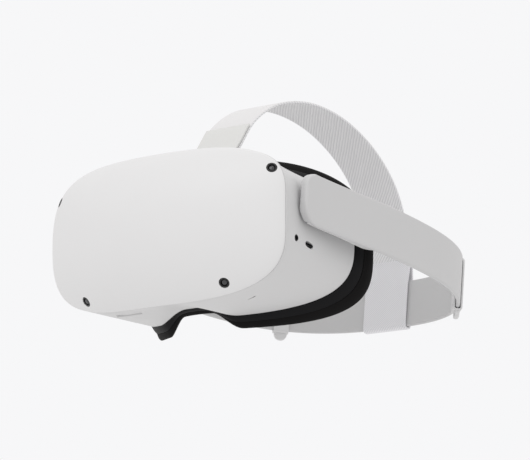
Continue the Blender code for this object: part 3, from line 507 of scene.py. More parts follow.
def woven(name, colour, hollow_shade, pitch, angle, thread, height, **more):
    values = {"Colour": colour, "Hollow shade": hollow_shade, "Pitch": pitch, "Angle": math.radians(angle),
              "Thread": thread, "Height": height, "Roughness": 0.85}
    return finish(name, WEAVE, values, Sheen_Weight=0.25, Sheen_Roughness=0.5, **more)


SHELL_WHITE = moulded("shell_white", (0.715, 0.715, 0.72), 0.42)
SHELL_GREY = moulded("shell_grey", (0.60, 0.60, 0.605), 0.45)
INNER_BLACK = moulded("inner_black", (0.010, 0.010, 0.011), 0.55, cloud=0.05)
BLACK = moulded("black_moulding", (0.013, 0.013, 0.014), 0.40, cloud=0.05)
INTERFACE = moulded("interface_black", (0.0062, 0.0062, 0.0070), 0.55, cloud=0.06, height=0.000012,
                    Specular_IOR_Level=0.10)
FOAM = moulded("cushion_foam", (0.0066, 0.0062, 0.0063), 0.80, cloud=0.10, rub=0.15, size=0.0005,
               height=0.00005, Specular_IOR_Level=0.08, Sheen_Weight=0.02, Sheen_Roughness=0.6)
ELASTOMER = moulded("band_elastomer", (0.555, 0.555, 0.56), 0.50, cloud=0.010, size=0.00035,
                    height=0.000008)
ARM_WHITE = moulded("arm_white", (0.66, 0.66, 0.665), 0.42)
# The second colour of each cloth is painted shade for the hollows of its weave.
TWILL = woven("strap_twill", (0.88, 0.88, 0.89), (0.62, 0.62, 0.635), 0.0019, -38, 0.0006, 0.00013)
FLAT_CLOTH = woven("strap_outer", (0.74, 0.735, 0.74), (0.66, 0.655, 0.66), 0.0009, 90, 0.0006, 0.00005)
LOOP_CLOTH = woven("tab_cloth", (0.71, 0.715, 0.70), (0.62, 0.62, 0.61), 0.0009, 90, 0.0005, 0.00006)
SLEEVE_CLOTH = woven("sleeve_twill", (0.86, 0.86, 0.88), (0.66, 0.66, 0.69), 0.0013, 52, 0.0005, 0.00012)
STEEL = moulded("ground_steel", (0.55, 0.55, 0.56), 0.28, cloud=0.02, height=0.000003, Metallic=1.0)
MAGNESIUM = moulded("cast_magnesium", (0.33, 0.33, 0.34), 0.5, cloud=0.05, size=0.0004, height=0.00002,
                    Metallic=1.0)
BOARD = moulded("solder_mask", (0.008, 0.06, 0.035), 0.35, cloud=0.15, size=0.0012, height=0.00003)
POUCH = moulded("cell_film", (0.09, 0.09, 0.10), 0.35, cloud=0.08, size=0.0008, height=0.00002)
COPPER = moulded("spreader_copper", (0.62, 0.33, 0.20), 0.35, cloud=0.08, Metallic=1.0)
LENS = moulded("lens_plastic", (0.93, 0.93, 0.95), 0.04, cloud=0.004, rub=0.02, height=0.0, IOR=1.49,
               Transmission_Weight=1.0)
DARK_GLASS = moulded("camera_glass", (0.010, 0.011, 0.014), 0.05, cloud=0.02, rub=0.02, height=0.0,
                     Coat_Weight=0.8, Coat_Roughness=0.02)
print("finishes:", len(bpy.data.materials))

# %% [markdown]
# ## The outline that every shell shares
#
# From the front the shell is a superellipse: |x / width| ^ n + |z / height| ^ n = 1, squarer above than
# below. Points are spaced evenly along the curve, so that the small corners get as many as the long sides.

# %% Outlines
FACE_HALF = shell_high.x                       # half the width of the face
FACE_TALL = (shell_high.z - shell_low.z) / 2
FACE_SQUARE_TOP, FACE_SQUARE_BOTTOM = 3.90, 3.14
QUARTER = 96                                   # points along a quarter of an outline
FINE = 6000                                    # points that the length is measured over
WALL, GAP = 0.0020, 0.0003                     # shell thickness, and the gap between two mouldings


def quarter_outline(half_width, half_height, squareness):
    angle = np.linspace(0, math.pi / 2, FINE)
    x = half_width * np.cos(angle) ** (2 / squareness)
    z = half_height * np.sin(angle) ** (2 / squareness)
    length = np.concatenate([[0], np.cumsum(np.hypot(np.diff(x), np.diff(z)))])
    steps = np.linspace(0, length[-1], QUARTER + 1)
    return np.stack([np.interp(steps, length, x), np.interp(steps, length, z)], axis=1)


def outline(half_width, top, bottom, square_top, square_bottom):
    upper = quarter_outline(half_width, top, square_top)
    lower = quarter_outline(half_width, bottom, square_bottom)
    return np.concatenate([upper[:-1], (upper[::-1] * (-1, 1))[:-1],
                           (lower * (-1, -1))[:-1], (lower[::-1] * (1, -1))[:-1]])


def ring(xz, y):
    return np.stack([xz[:, 0], np.broadcast_to(y, len(xz)), xz[:, 1]], axis=1)


def inset(points, distance):
    """A ring moved towards its inside, in its own X and Z."""
    along = np.roll(points, -1, axis=0) - np.roll(points, 1, axis=0)
    inward = np.stack([-along[:, 2], np.zeros(len(points)), along[:, 0]], axis=1)
    return points + distance * unit(inward)


def back(points, distance):
    return points + np.array([0, distance, 0])


FACE_OUTLINE = outline(FACE_HALF, FACE_TALL, FACE_TALL, FACE_SQUARE_TOP, FACE_SQUARE_BOTTOM)
print("outline:", len(FACE_OUTLINE), "points round a", round(2 * FACE_HALF, 4), "wide face")

# %% [markdown]
# ## Front shell
#
# One thin bowed moulding with a deep rolled edge. It could be a subdivided cage, but a cage never keeps the
# same curvature all the way round, and light on a pale gloss-free surface shows every flat spot. So it is a
# formula. The depth is a bowl, deeper with the squares of x and z and leaning a little towards the top, plus
# a roll that depends on how near the edge a point is. With the share s of the way to the edge, the roll is
# 1 - (1 - s s) ^ 2/3. Rows are spaced evenly in an angle whose sine is s, so they crowd towards the edge.
# The inside is the same formula on a smaller outline, set back by the wall in the middle: a true offset would
# fold over itself where the roll is tightest.

# %% Front shell
BOW_X, BOW_Z = 2.25, 3.58                      # depth gained per square metre, sideways and up or down
LEAN, ROLL, LIP = 0.016, 0.0117, 0.0014        # forward lean with height, depth of the roll and of the lip
EDGE_EASE = 0.0003                             # rounding of an edge where two mouldings meet


def bowl(x, z):
    return FACE_SETBACK + BOW_X * x * x + BOW_Z * z * z - LEAN * z


def face_row(angle, around=FACE_OUTLINE, behind=0.0):
    """A ring of the face at a roll angle, from 0 at the middle to a right angle at the edge. behind is how
    far back the middle is set; it fades to nothing at the edge."""
    xz = math.sin(angle) * around
    rolled = 1 - math.cos(angle) ** (4 / 3)
    return ring(xz, bowl(xz[:, 0], xz[:, 1]) + behind + (ROLL - behind) * rolled)


def normals_of(grid):
    """Outward directions of a (rows, columns, 3) surface that closes round its columns."""
    along = np.roll(grid, -1, axis=1) - np.roll(grid, 1, axis=1)
    down = np.gradient(grid, axis=0)
    return unit(np.cross(down, along))


def make_front_shell():
    edge_row = face_row(math.pi / 2)
    angles = np.linspace(0, math.pi / 2, 72)
    outer = np.array([face_row(angle) for angle in angles] + [back(edge_row, LIP * 0.4)])
    inner_outline = inset(edge_row, WALL)[:, [0, 2]]
    inner = np.array([face_row(angle, inner_outline, WALL) for angle in angles])
    end = LIP - GAP / 2
    rim = [back(edge_row, end), back(inset(edge_row, WALL), end)]
    rim = rounded_rows([outer[-1], *rim, inner[-1]], (0, EDGE_EASE, EDGE_EASE, 0), closed=False)
    grid = np.concatenate([outer, rim[1:-1], inner[::-1]])
    return surface("front_cover", from_face(grid))


PARTING = back(face_row(math.pi / 2), LIP)
front_cover = make_front_shell()

# %% [markdown]
# ## Tracking cameras
#
# Four small cameras look out through round holes in the rolled edge. Each sits square to the surface, so
# the hole's axis is the surface normal: the slope of the depth formula in x and z. The camera is a turned
# black ring with a stepped throat, and a domed glass inside it that catches a highlight.

# %% Camera holes and cameras
CAMERA_SITES = {"upper": (0.0871, 0.0309), "lower": (0.0563, -0.0400)}
CAMERA_RADIUS, CAMERA_HOLE, CAMERA_DEEP = 0.0031, 0.0035, 0.0060
THROAT, STEP_DOWN, DOME_RADIUS, DOME_FOOT = 0.0022, 0.0026, 0.0020, -0.0011


def face_point(x, z):
    """A point on the face and the outward direction there, from small steps either side."""
    def depth(at_x, at_z):
        n = FACE_SQUARE_TOP if at_z > 0 else FACE_SQUARE_BOTTOM
        share = ((abs(at_x) / FACE_HALF) ** n + (abs(at_z) / FACE_TALL) ** n) ** (1 / n)
        return bowl(at_x, at_z) + ROLL * (1 - max(0.0, 1 - share ** 2) ** (2 / 3))
    step = 0.0005
    slope = [(depth(x + step, z) - depth(x - step, z)) / (2 * step),
             (depth(x, z + step) - depth(x, z - step)) / (2 * step)]
    return np.array([x, depth(x, z), z]), unit(np.array([slope[0], -1, slope[1]]))


def arc(centre, radius, first, last, steps):
    """Profile points on an arc, by angle in degrees from the radius direction."""
    t = np.radians(np.linspace(first, last, steps))
    return [(centre[0] + radius * math.cos(a), centre[1] + radius * math.sin(a)) for a in t]


def make_camera(level, side, place, out):
    r, edge = CAMERA_RADIUS, 0.00035
    profile = [(0.0, -CAMERA_DEEP), (r, -CAMERA_DEEP), (r, -edge), *arc((r - edge, -edge), edge, 0, 90, 6),
               (STEP_DOWN, 0.0), *arc((STEP_DOWN, -0.0002), 0.0002, 90, 180, 4), (0.0024, -0.0007),
               (THROAT, -0.0009), (THROAT, -0.0030), (0.0, -0.0030)]
    camera_ring = turned(f"{level}_{side}_camera_ring", profile, place, out)
    crisp(camera_ring, 50)
    finish_piece(camera_ring, "headset", "black_plastic", BLACK, f"{level}_{side}_camera")
    dome = [(0.0, -0.0026), (DOME_RADIUS, -0.0026), (DOME_RADIUS, DOME_FOOT)]
    dome += [(DOME_RADIUS * math.cos(a), DOME_FOOT + 0.0009 * math.sin(a))
             for a in np.linspace(0.1, math.pi / 2, 12)]
    dome[-1] = (0.0, dome[-1][1])
    glass = turned(f"{level}_{side}_camera_dome", dome, place, out, 64)
    finish_piece(glass, "headset", "lens_glass", DARK_GLASS, f"{level}_{side}_camera_glass")


camera_sites = []
for level, (x, z) in CAMERA_SITES.items():
    for side, sign in (("left", 1), ("right", -1)):
        point, out = face_point(sign * x, z)
        camera_sites.append((level, side, from_face(point), out))
carve(front_cover, [round_cutter(place, out, CAMERA_HOLE, 0.014) for _, _, place, out in camera_sites])
finish_piece(front_cover, "headset", "white_shell", SHELL_WHITE, "front_shell")
for site in camera_sites:
    make_camera(*site)

# %% [markdown]
# ## Edges that follow a face
#
# Housing, interface and foam all end in an edge that follows the wearer's face: far back beside the
# temples, forward at the brow, and cut away for the nose. One formula gives them all, and every ring between
# the front outline and such an edge is a blend of the two.

# %% Edges that follow a face
WAIST_POWER = 0.6
REAR = {"width": 0.0840, "top": 0.0460, "bottom": 0.0525, "square": (3.0, 3.05), "side_y": 0.131,
        "top_y": 0.084, "bottom_y": 0.0675, "nose": (0.0075, 0.004, 0.033)}
CUSHION = {"width": 0.0862, "top": 0.0565, "bottom": 0.0593, "square": (2.8, 3.6), "side_y": 0.1490,
           "top_y": 0.098, "bottom_y": 0.0755, "nose": (0.0115, 0.012, 0.030)}


def face_edge(width, top, bottom, square, side_y, top_y, bottom_y, nose):
    """A superellipse whose depth grows with the square of x, and whose lower middle is lifted for the nose:
    nose is the lift, the half width of its flat top and the half width at its foot."""
    xz = outline(width, top, bottom, *square)
    rise = np.clip(xz[:, 1] / top, -1, 1)
    middle_y = (top_y + bottom_y) / 2 + (top_y - bottom_y) / 2 * rise
    y = middle_y + (side_y - middle_y) * (xz[:, 0] / width) ** 2
    lift, flat, foot = nose
    lifted = lift * (1 - smoothstep(flat, foot, np.abs(xz[:, 0])))
    xz[:, 1] += np.where(xz[:, 1] < 0, lifted, 0)
    return ring(xz, y)


REAR_EDGE, CUSHION_EDGE = face_edge(**REAR), face_edge(**CUSHION)
FRAME_EDGE = REAR_EDGE + 0.5 * (CUSHION_EDGE - REAR_EDGE)


def housing_row(share):
    """A ring between the parting line and the rear edge. The waist is drawn in early: share ^ 0.6."""
    waist = share ** WAIST_POWER
    return PARTING + (REAR_EDGE - PARTING) * np.array([waist, share, waist])

# %% [markdown]
# ## Rear housing
#
# The grey body behind the face is one moulding. Its wall is the outer surface set in along its own normals,
# and both ends are closed with eased edges, so the section is a closed loop. The holes for the sockets, the
# button, its light, the rocker and the microphone are cut afterwards, because a hole in a thin wall needs
# crisp edges.

# %% Rear housing
PIVOT = STRAP_ORIGIN - FACE_ORIGIN             # the strap's hinge in the face layout
JACK_SITE, JACK_RADIUS = (0.0585, -0.0110), 0.0019
USB_SITE, USB_SIZE, USB_SLOPE = (0.0752, -0.0127), (0.0090, 0.0032), -0.16
POWER_SITE, POWER_SIZE = (0.0530, -0.0120), (0.0110, 0.0042)
LIGHT_SITE = (0.0640, -0.0130)
VOLUME_SITE, VOLUME_SIZE, VOLUME_Z = (-0.0316, 0.0436), (0.0200, 0.0034), -0.0487
MICROPHONE_SITE = (0.058, 0.056)
POST_HOLE, LIGHT_HOLE, ROCKER_ROOM = 0.0046, 0.0012, 0.0004


def make_housing():
    start = back(PARTING, GAP / 2)
    rows = [back(PARTING, LIP * share) for share in (0.4, 0.8)]
    rows += [housing_row(share) + [0, LIP * (1 - share), 0] for share in np.linspace(0.08, 1, 56) ** 2]
    outer = np.array(rows)
    normal = normals_of(outer)
    if normal[20, 0, 0] < 0:
        normal = -normal
    inner = outer - WALL * normal
    front = rounded_rows([inner[0], inset(start, WALL), start, outer[0]], (0, EDGE_EASE, EDGE_EASE, 0),
                         closed=False)
    rear = rounded_rows([outer[-2], REAR_EDGE, inset(REAR_EDGE, WALL), inner[-2]], (0, 0.0004, EDGE_EASE, 0),
                        closed=False)
    grid = np.concatenate([front[:-1], outer[:-1], rear[1:-1], inner[-2:0:-1]])
    return surface("housing_moulding", from_face(grid), rows_closed=True)


def slot_cutter(place, size):
    """A long round-ended hole across a wall: a pill much deeper than the wall."""
    return pill("cutter", from_face(place), size, squareness=(2.6, 60.0), around=48, rows=12)


housing = make_housing()
cutters = [round_cutter(from_face((x, *site)), (1, 0, 0), radius, 0.012)
           for x, site, radius in ((0.089, PIVOT[1:], POST_HOLE), (-0.089, PIVOT[1:], POST_HOLE),
                                   (0.091, JACK_SITE, JACK_RADIUS + GAP), (-0.090, LIGHT_SITE, LIGHT_HOLE))]
cutters += [pill("cutter", from_face((x, *site)), (0.008, size[0] / 2 + GAP, size[1] / 2 + GAP),
                 squareness=(40.0, corner), slope=slope)
            for x, site, size, corner, slope in ((0.090, USB_SITE, USB_SIZE, 3.0, USB_SLOPE),
                                                 (-0.091, POWER_SITE, POWER_SIZE, 4.0, 0.0))]
cutters += [slot_cutter((*VOLUME_SITE, VOLUME_Z - 0.0014),
                        (VOLUME_SIZE[0] / 2 + ROCKER_ROOM, VOLUME_SIZE[1] / 2 + ROCKER_ROOM, 0.006)),
            slot_cutter((*MICROPHONE_SITE, -0.045), (0.0030, 0.00045, 0.006))]
carve(housing, cutters)

# %% [markdown]
# ## Black inside the housing
#
# The inner wall is found by its direction: an inner face looks towards the middle of the housing, so the dot
# product of its normal with the line from the middle is negative.

# %% Black inside the housing
def blacken_inside(piece, material, middle):
    outward = (face_vectors(piece, "center") - middle) * (1, 0, 1)
    inside = (outward * face_vectors(piece, "normal")).sum(axis=1) < -0.0005
    piece.data.materials.append(material)
    piece.data.polygons.foreach_set("material_index", inside.astype(np.int32))


finish_piece(housing, "headset", "grey_shell", SHELL_GREY, "rear_housing")
blacken_inside(housing, INNER_BLACK, FACE_ORIGIN)

# %% [markdown]
# ## Sockets, button and rocker
#
# On the wearer's left are the headphone and charging sockets. On the right are the power button and its
# light, and a rocker for the volume is underneath. They are a few millimetres long, so pills and turned rings
# are enough, with real depth in the sockets.

# %% Sockets and controls
def make_jack():
    """A turned socket: a wide body behind the wall, a slim collar through it and a blind bore."""
    r, body, bore, ease = JACK_RADIUS, 0.0030, 0.00145, 0.0002
    profile = [(0.0, -0.0110), (body, -0.0110), (body, -0.0032), (r, -0.0032), (r, -0.0003),
               *arc((r - ease, -0.0003), ease, 0, 90, 5), (0.00150, -0.0001), (bore, -0.0004),
               (bore, -0.0095), (0.0, -0.0095)]
    jack = turned("headphone_jack", profile, from_face((0.0914, *JACK_SITE)), (1, 0, 0), 64)
    crisp(jack, 50)
    finish_piece(jack, "headset", "black_plastic", BLACK, "headphone_socket")


def make_usb():
    """A metal shell with an open mouth, and the contact tongue inside it."""
    half = (0.0040, USB_SIZE[0] / 2, USB_SIZE[1] / 2)
    place = np.array((0.0846, *USB_SITE))
    shell = pill("charging_shell", from_face(place), half, squareness=(60.0, 3.4), slope=USB_SLOPE)
    mouth = pill("cutter", from_face(place + (0.0020, 0, 0)), (0.0042, half[1] - 0.0004, half[2] - 0.0004),
                 squareness=(60.0, 3.4), slope=USB_SLOPE)
    carve(shell, [mouth])
    finish_piece(shell, "headset", "steel", STEEL, "usb_socket")
    tongue = pill("charging_tongue", from_face(place + (0.0003, 0, 0)), (0.0025, 0.0034, 0.00035),
                  squareness=(20.0, 8.0), slope=USB_SLOPE, around=32, rows=12)
    finish_piece(tongue, "headset", "black_plastic", BLACK)


make_jack()
make_usb()
power = pill("power_key", from_face((-0.0900, *POWER_SITE)), (0.0020, POWER_SIZE[0] / 2, POWER_SIZE[1] / 2),
             squareness=(9.0, 4.5))
finish_piece(power, "power_button", "grey_shell", SHELL_GREY, "power_button")
rocker = pill("volume_key", from_face((*VOLUME_SITE, VOLUME_Z)),
              (VOLUME_SIZE[0] / 2, VOLUME_SIZE[1] / 2, 0.0015), squareness=(2.6, 6.0))
finish_piece(rocker, "volume_rocker", "grey_shell", SHELL_GREY, "volume_rocker")
light_pipe = turned("status_lens", [(0.0, -0.0020), (0.0009, -0.0020), (0.0009, 0.0015),
                    *arc((0.0, 0.0015), 0.0009, 0, 90, 8)[:-1], (0.0, 0.0024)],
                    from_face((-0.0884, *LIGHT_SITE)), (-1, 0, 0), 40)
finish_piece(light_pipe, "headset", "lens_glass", DARK_GLASS, "status_light")

# %% [markdown]
# ## Interface frame
#
# A rigid black frame clips into the housing and carries the foam. Both are a closed section carried round the
# same ring of points, so they are loops of rings with rounded corners. The frame's outer wall is the smooth
# band that shows between the grey shell and the foam, and it ends in a small step that lights up as a line.

# %% Interface frame
def make_interface():
    skirt_out, skirt_in, depth = WALL + 0.0007, WALL + 0.0025, 0.0050
    wall = between(back(REAR_EDGE, GAP), FRAME_EDGE, 6)
    bulge = [inset(row, -0.0004 * math.sin(math.pi * (k + 1) / 7)) for k, row in enumerate(wall)]
    rings = [back(REAR_EDGE, GAP), *bulge, FRAME_EDGE, inset(FRAME_EDGE, 0.0030),
             back(inset(REAR_EDGE, skirt_in), 0.0015), back(inset(REAR_EDGE, skirt_in), -depth),
             back(inset(REAR_EDGE, skirt_out), -depth), back(inset(REAR_EDGE, skirt_out), GAP)]
    radii = [0.0006, *[0] * len(bulge), 0.0005, 0.0006, 0.0008, 0.0004, 0.0004, 0.0002]
    return surface("interface_moulding", from_face(rounded_rows(rings, radii, closed=True)), rows_closed=True)


interface = make_interface()
finish_piece(interface, "interface", "black_plastic", INTERFACE, "interface_frame")

# %% [markdown]
# ## Face cushion
#
# A ring of foam in a thin fabric skin. It could be inflated by a cloth simulation, but a ring that is glued
# to its frame all the way round hardly swells, and the simulation's remeshing would lose the crisp seam. So
# it is a section again, with large corner radii that give the soft crown.

# %% Face cushion
CUSHION_GAP = 0.0009                           # the seam between the foam and its frame


def make_cushion():
    """The foam's section: up the outside, over a soft crown that leans inwards, and down inside."""
    middle = FRAME_EDGE + 0.5 * (CUSHION_EDGE - FRAME_EDGE)
    rings = [back(FRAME_EDGE, CUSHION_GAP * 0.4), inset(middle, -0.0010), CUSHION_EDGE,
             back(inset(CUSHION_EDGE, 0.0020), 0.0024), back(inset(CUSHION_EDGE, 0.0062), 0.0024),
             back(inset(CUSHION_EDGE, 0.0098), -0.0012), back(inset(FRAME_EDGE, 0.0085), 0.0010),
             back(inset(FRAME_EDGE, 0.0050), CUSHION_GAP * 0.6)]
    radii = [0.0004, 0.0060, 0.0030, 0.0030, 0.0030, 0.0040, 0.0030, 0.0010]
    rows = rounded_rows(rings, radii, closed=True, steps=8)
    return surface("cushion_pad", from_face(rows), rows_closed=True)


cushion = make_cushion()
finish_piece(cushion, "interface", "black_foam", FOAM, "face_cushion")

# %% [markdown]
# ## Lens panel
#
# Inside the foam the wearer sees a black panel with two lens barrels through it. It follows the housing's
# inner wall, so it is cut from the same blend of rings at its own depth.

# %% Lens panel
LENS_SPACING, BARREL_RADIUS, BARREL_FRONT, BARREL_LENGTH = 0.063, 0.0250, 0.0355, 0.0265
PANEL_Y, PANEL_HALF, PANEL_HOLE, HOLE_STRETCH = 0.0607, 0.001, 0.0260, 1.09
SENSOR_Z = 0.0330


def make_panel():
    """A plate of the housing's inner outline at its depth, with an oval hole for each barrel, which slides
    sideways, a window for the sensor and a notch for the headphone socket."""
    share = (PANEL_Y - PARTING[:, 1]) / (REAR_EDGE[:, 1] - PARTING[:, 1])
    waist = np.sign(share) * np.abs(share) ** WAIST_POWER
    section = PARTING + (REAR_EDGE - PARTING) * np.stack([waist, share, waist], axis=1)
    edge = inset(ring(section[:, [0, 2]], PANEL_Y), WALL + 0.0009)
    centre = 0 * edge + [0, PANEL_Y, 0]
    rows = [back(centre, PANEL_HALF), back(inset(edge, 0.0006), PANEL_HALF), back(edge, 0.0006),
            back(edge, -PANEL_HALF), back(centre, -PANEL_HALF)]
    panel = surface("lens_surround", from_face(np.array(rows)))
    holes = []
    for sign in (1, -1):
        hole = round_cutter((0, 0, 0), (0, 1, 0), PANEL_HOLE, 0.010, 128)
        points = np.array([vert.co for vert in hole.data.vertices])
        points = points * (HOLE_STRETCH, 1, 1) + from_face((sign * LENS_SPACING / 2, PANEL_Y, 0))
        hole.data.vertices.foreach_set("co", points.astype(np.float32).ravel())
        holes.append(hole)
    holes.append(box_cutter(from_face((0, PANEL_Y, SENSOR_Z)), (0.0066, 0.010, 0.0046)))
    holes.append(box_cutter(from_face((0.0850, PANEL_Y, JACK_SITE[1])), (0.0180, 0.010, 0.0080)))
    carve(panel, holes)
    return panel


panel = make_panel()
finish_piece(panel, "headset", "black_plastic", INNER_BLACK)
sensor = pill("sensor_window", from_face((0, PANEL_Y, SENSOR_Z)), (0.0030, 0.0015, 0.0020),
              squareness=(8.0, 8.0))
finish_piece(sensor, "headset", "lens_glass", DARK_GLASS, "proximity_sensor")

# %% [markdown]
# ## Lenses
#
# The lenses are thin stepped ones: the rear face is cut into fine concentric steps. A groove is about half a
# millimetre wide, so the profile has a small tooth for each groove and is turned round the lens's axis.

# %% Lenses
GROOVES, GROOVE_DEPTH = 36, 0.00022
CROWN_SET, CROWN_BOW, LENS_EDGE, FRONT_BOW = 0.0012, 0.0034, 0.0052, 0.0038
HOOD_WALL, HOOD_FOOT, HOOD_EASE = 0.0016, 0.0054, 0.0003


def lens_profile():
    """From the axis at the rear, out over the grooves, and back over the smooth front face."""
    length, rim = BARREL_LENGTH, BARREL_RADIUS - 0.0020
    edges = np.linspace(0.0030, rim - 0.0012, GROOVES + 1)

    def crown(radius):
        return length - CROWN_SET - CROWN_BOW * (radius / rim) ** 2
    rear = [(0.0, crown(0)), (0.0015, crown(0.0015))]
    for inner, outer in zip(edges[:-1], edges[1:]):
        rear += [(inner, crown(inner)), (outer - 0.00006, crown(outer) - GROOVE_DEPTH)]
    rear += [(edges[-1], crown(rim)), (rim, crown(rim)), (rim, length - LENS_EDGE)]
    front = [(rim * share, length - LENS_EDGE - FRONT_BOW * (1 - share ** 2))
             for share in np.linspace(0.95, 0, 12)]
    return rear + front


for side, sign in (("left", 1), ("right", -1)):
    centre = from_face((sign * LENS_SPACING / 2, BARREL_FRONT, 0))
    lens = turned(side + "_lens_grooved", lens_profile(), centre, (0, 1, 0), 128)
    crisp(lens, 25)
    finish_piece(lens, side + "_lens_carriage", "lens_glass", LENS, side + "_lens")
    r, length, soft = BARREL_RADIUS, BARREL_LENGTH, HOOD_EASE
    hood = [(r, length - soft), *arc((r - soft, length - soft), soft, 0, 90, 5),
            *arc((r - HOOD_WALL + soft, length - soft), soft, 90, 180, 5),
            (r - HOOD_WALL, length - HOOD_FOOT), (r + 0.0001, length - HOOD_FOOT)]
    rim = turned(side + "_lens_rim", hood, centre + (0, 0.00005, 0), (0, 1, 0), 128)
    crisp(rim, 50)
    finish_piece(rim, side + "_lens_carriage", "black_plastic", BLACK)

# %% [markdown]
# ## Strips along a path
#
# Band, webbing, sleeve, sliders and arms are all a section carried along a path, so one builder makes them.
# The section is a rectangle with rounded corners, and near an end it can shrink like a quarter circle, so
# that the end is round in both directions.

# %% Strips along a path
def rounded_section(half_thick, half_wide, radius, corner=6, flat=7):
    """Points (thick, wide) round a rectangle with round corners, one row for each place on the path.
    Each corner is a quarter circle; the flats get points that crowd towards the corners."""
    shape = (*np.shape(half_thick), 1)
    half_thick, half_wide, radius = (np.broadcast_to(np.asarray(value, float)[..., None], shape)
                                     for value in (half_thick, half_wide, radius))
    t = np.radians(np.linspace(0, 90, corner))
    ease = (1 - np.cos(np.pi * np.linspace(0, 1, flat + 2)[1:-1])) / 2
    pieces = []
    turns = ((1, 1), (-1, 1), (-1, -1), (1, -1))
    for k, (a, b) in enumerate(turns):
        angles = t + k * math.pi / 2
        thick = a * (half_thick - radius) + radius * np.cos(angles)
        wide = b * (half_wide - radius) + radius * np.sin(angles)
        pieces.append((thick, wide))
        na, nb = turns[(k + 1) % 4]
        start = (thick[..., -1:], wide[..., -1:])
        end_angle = (k + 1) * math.pi / 2
        end = (na * (half_thick - radius) + radius * math.cos(end_angle),
               nb * (half_wide - radius) + radius * math.sin(end_angle))
        pieces.append(tuple(s + ease * (e - s) for s, e in zip(start, end)))
    return tuple(np.concatenate([piece[k] for piece in pieces], axis=-1) for k in (0, 1))


def strip(name, path, out, across, half_thick, half_wide, radius, closed=False, to_world=from_face):
    """A closed strip along path. out is the thickness direction and across the width direction at each
    point. Its map holds the distance round the section and along the path, in metres."""
    rows = len(path)
    half_thick, half_wide, radius = (np.broadcast_to(np.asarray(value, float), rows)
                                     for value in (half_thick, half_wide, radius))
    radius = np.minimum(radius, 0.999 * np.minimum(half_thick, half_wide))
    thick, wide = rounded_section(half_thick, half_wide, radius)
    grid = path[:, None, :] + thick[..., None] * out[:, None, :] + wide[..., None] * across[:, None, :]
    along = walked(path)
    if not closed:
        ends = [path[k] + wide[k][:, None] * across[k] for k in (0, -1)]
        grid = np.concatenate([ends[0][None], grid, ends[1][None]])
        along = np.concatenate([[0], along, [along[-1]]])
        thick, wide = (np.concatenate([value[:1], value, value[-1:]]) for value in (thick, wide))
    else:
        along = np.concatenate([along, [along[-1] + np.linalg.norm(path[0] - path[-1])]])
    step = np.hypot(np.diff(thick, axis=1, append=thick[:, :1]), np.diff(wide, axis=1, append=wide[:, :1]))
    round_section = np.concatenate([np.zeros((len(step), 1)), np.cumsum(step, axis=1)], axis=1)
    if closed:
        round_section = np.concatenate([round_section, round_section[:1]])
    uv = np.stack([round_section, np.broadcast_to(along[:, None], round_section.shape)], axis=-1)
    return surface(name, to_world(grid), rows_closed=closed, uv=uv)

# %% [markdown]
# ## Head band
#
# One moulded elastic band runs from one hinge round the head to the other. Seen from above it is straight
# along the sides and a superellipse behind. Its ends are thicker, where they grip the arms, and their upper
# corners are rounded less than the lower ones.

# %% Head band
FRONT_X, SIDE_X = 0.0980, 0.1043
FRONT_V, SIDE_V, BACK_V = -0.0137, 0.0869, 0.2184
BAND_SQUARE, BAND_TALL, BAND_THICK = 2.65, 0.0333, 0.0026
END_THICK, END_LENGTH, END_CORNERS, END_ROUND = 0.0062, 0.0060, (0.0085, 0.0130), 0.0021


def band_side(v):
    return FRONT_X + (SIDE_X - FRONT_X) * smoothstep(FRONT_V, SIDE_V, v)


def band_back(angle):
    across = SIDE_X * np.maximum(np.cos(angle), 0) ** (2 / BAND_SQUARE)
    return np.stack([across, SIDE_V + (BACK_V - SIDE_V) * np.sin(angle) ** (2 / BAND_SQUARE)], axis=-1)


def band_path():
    """(x, v) of the outer face from the left end round to the right end, and the inward directions."""
    ends = FRONT_V + 0.012 * np.linspace(0, 1, 30) ** 2
    side = np.concatenate([ends, np.linspace(ends[-1], SIDE_V, 60)[1:]])
    curve = band_back(np.linspace(0, math.pi / 2, 3000))
    length = walked(curve)
    curve = at_distances(curve, length, np.linspace(0, length[-1], 110)[1:])
    left = np.concatenate([np.stack([band_side(side), side], axis=1), curve])
    whole = np.concatenate([left, left[-2::-1] * (-1, 1)])
    along = np.gradient(whole, axis=0)
    return whole, unit(np.stack([-along[:, 1], along[:, 0]], axis=1))


def quarter_round(distance, radius):
    """How far a quarter-circle edge has drawn in, at a distance from the end."""
    left = np.clip(radius - distance, 0, radius)
    return radius - np.sqrt(np.maximum(radius ** 2 - left ** 2, 0))


def make_band():
    whole, inward = band_path()
    length = walked(whole)
    from_end = np.minimum(length, length[-1] - length)
    thick = END_THICK - (END_THICK - BAND_THICK) * smoothstep(END_LENGTH, END_LENGTH + 0.002, from_end)
    drawn_in = quarter_round(from_end, END_ROUND)
    upper, lower = quarter_round(from_end, END_CORNERS[0]), quarter_round(from_end, END_CORNERS[1])
    half_wide = BAND_TALL / 2 - (upper + lower) / 2 - drawn_in * 0.5
    middle = whole + inward * (thick / 2)[:, None]
    path = np.stack([middle[:, 0], middle[:, 1], (lower - upper) / 2], axis=1)
    out = np.stack([-inward[:, 0], -inward[:, 1], 0 * thick], axis=1)
    half_thick = np.maximum(thick / 2 - drawn_in, 0.00005)
    radius = 0.0011 + 0.0009 * (thick - BAND_THICK) / (END_THICK - BAND_THICK)
    return strip("band_moulding", path, out, everywhere(UP, path), half_thick, half_wide, radius,
                 to_world=from_strap)


band = make_band()
finish_piece(band, "strap", "strap_rubber", ELASTOMER, "strap_band")

# %% [markdown]
# ## Side arms
#
# Inside each end of the band is a stiff arm that turns on the hinge post and holds a speaker. It is a loft of
# rounded rectangles that gets thinner towards the back, with three slots for the sound and a hole for the
# post.

# %% Side arms
ARM_STOP, ARM_INNER, SPEAKER_V, SLOT_STEP = 0.0780, 0.0923, 0.0450, 0.0030


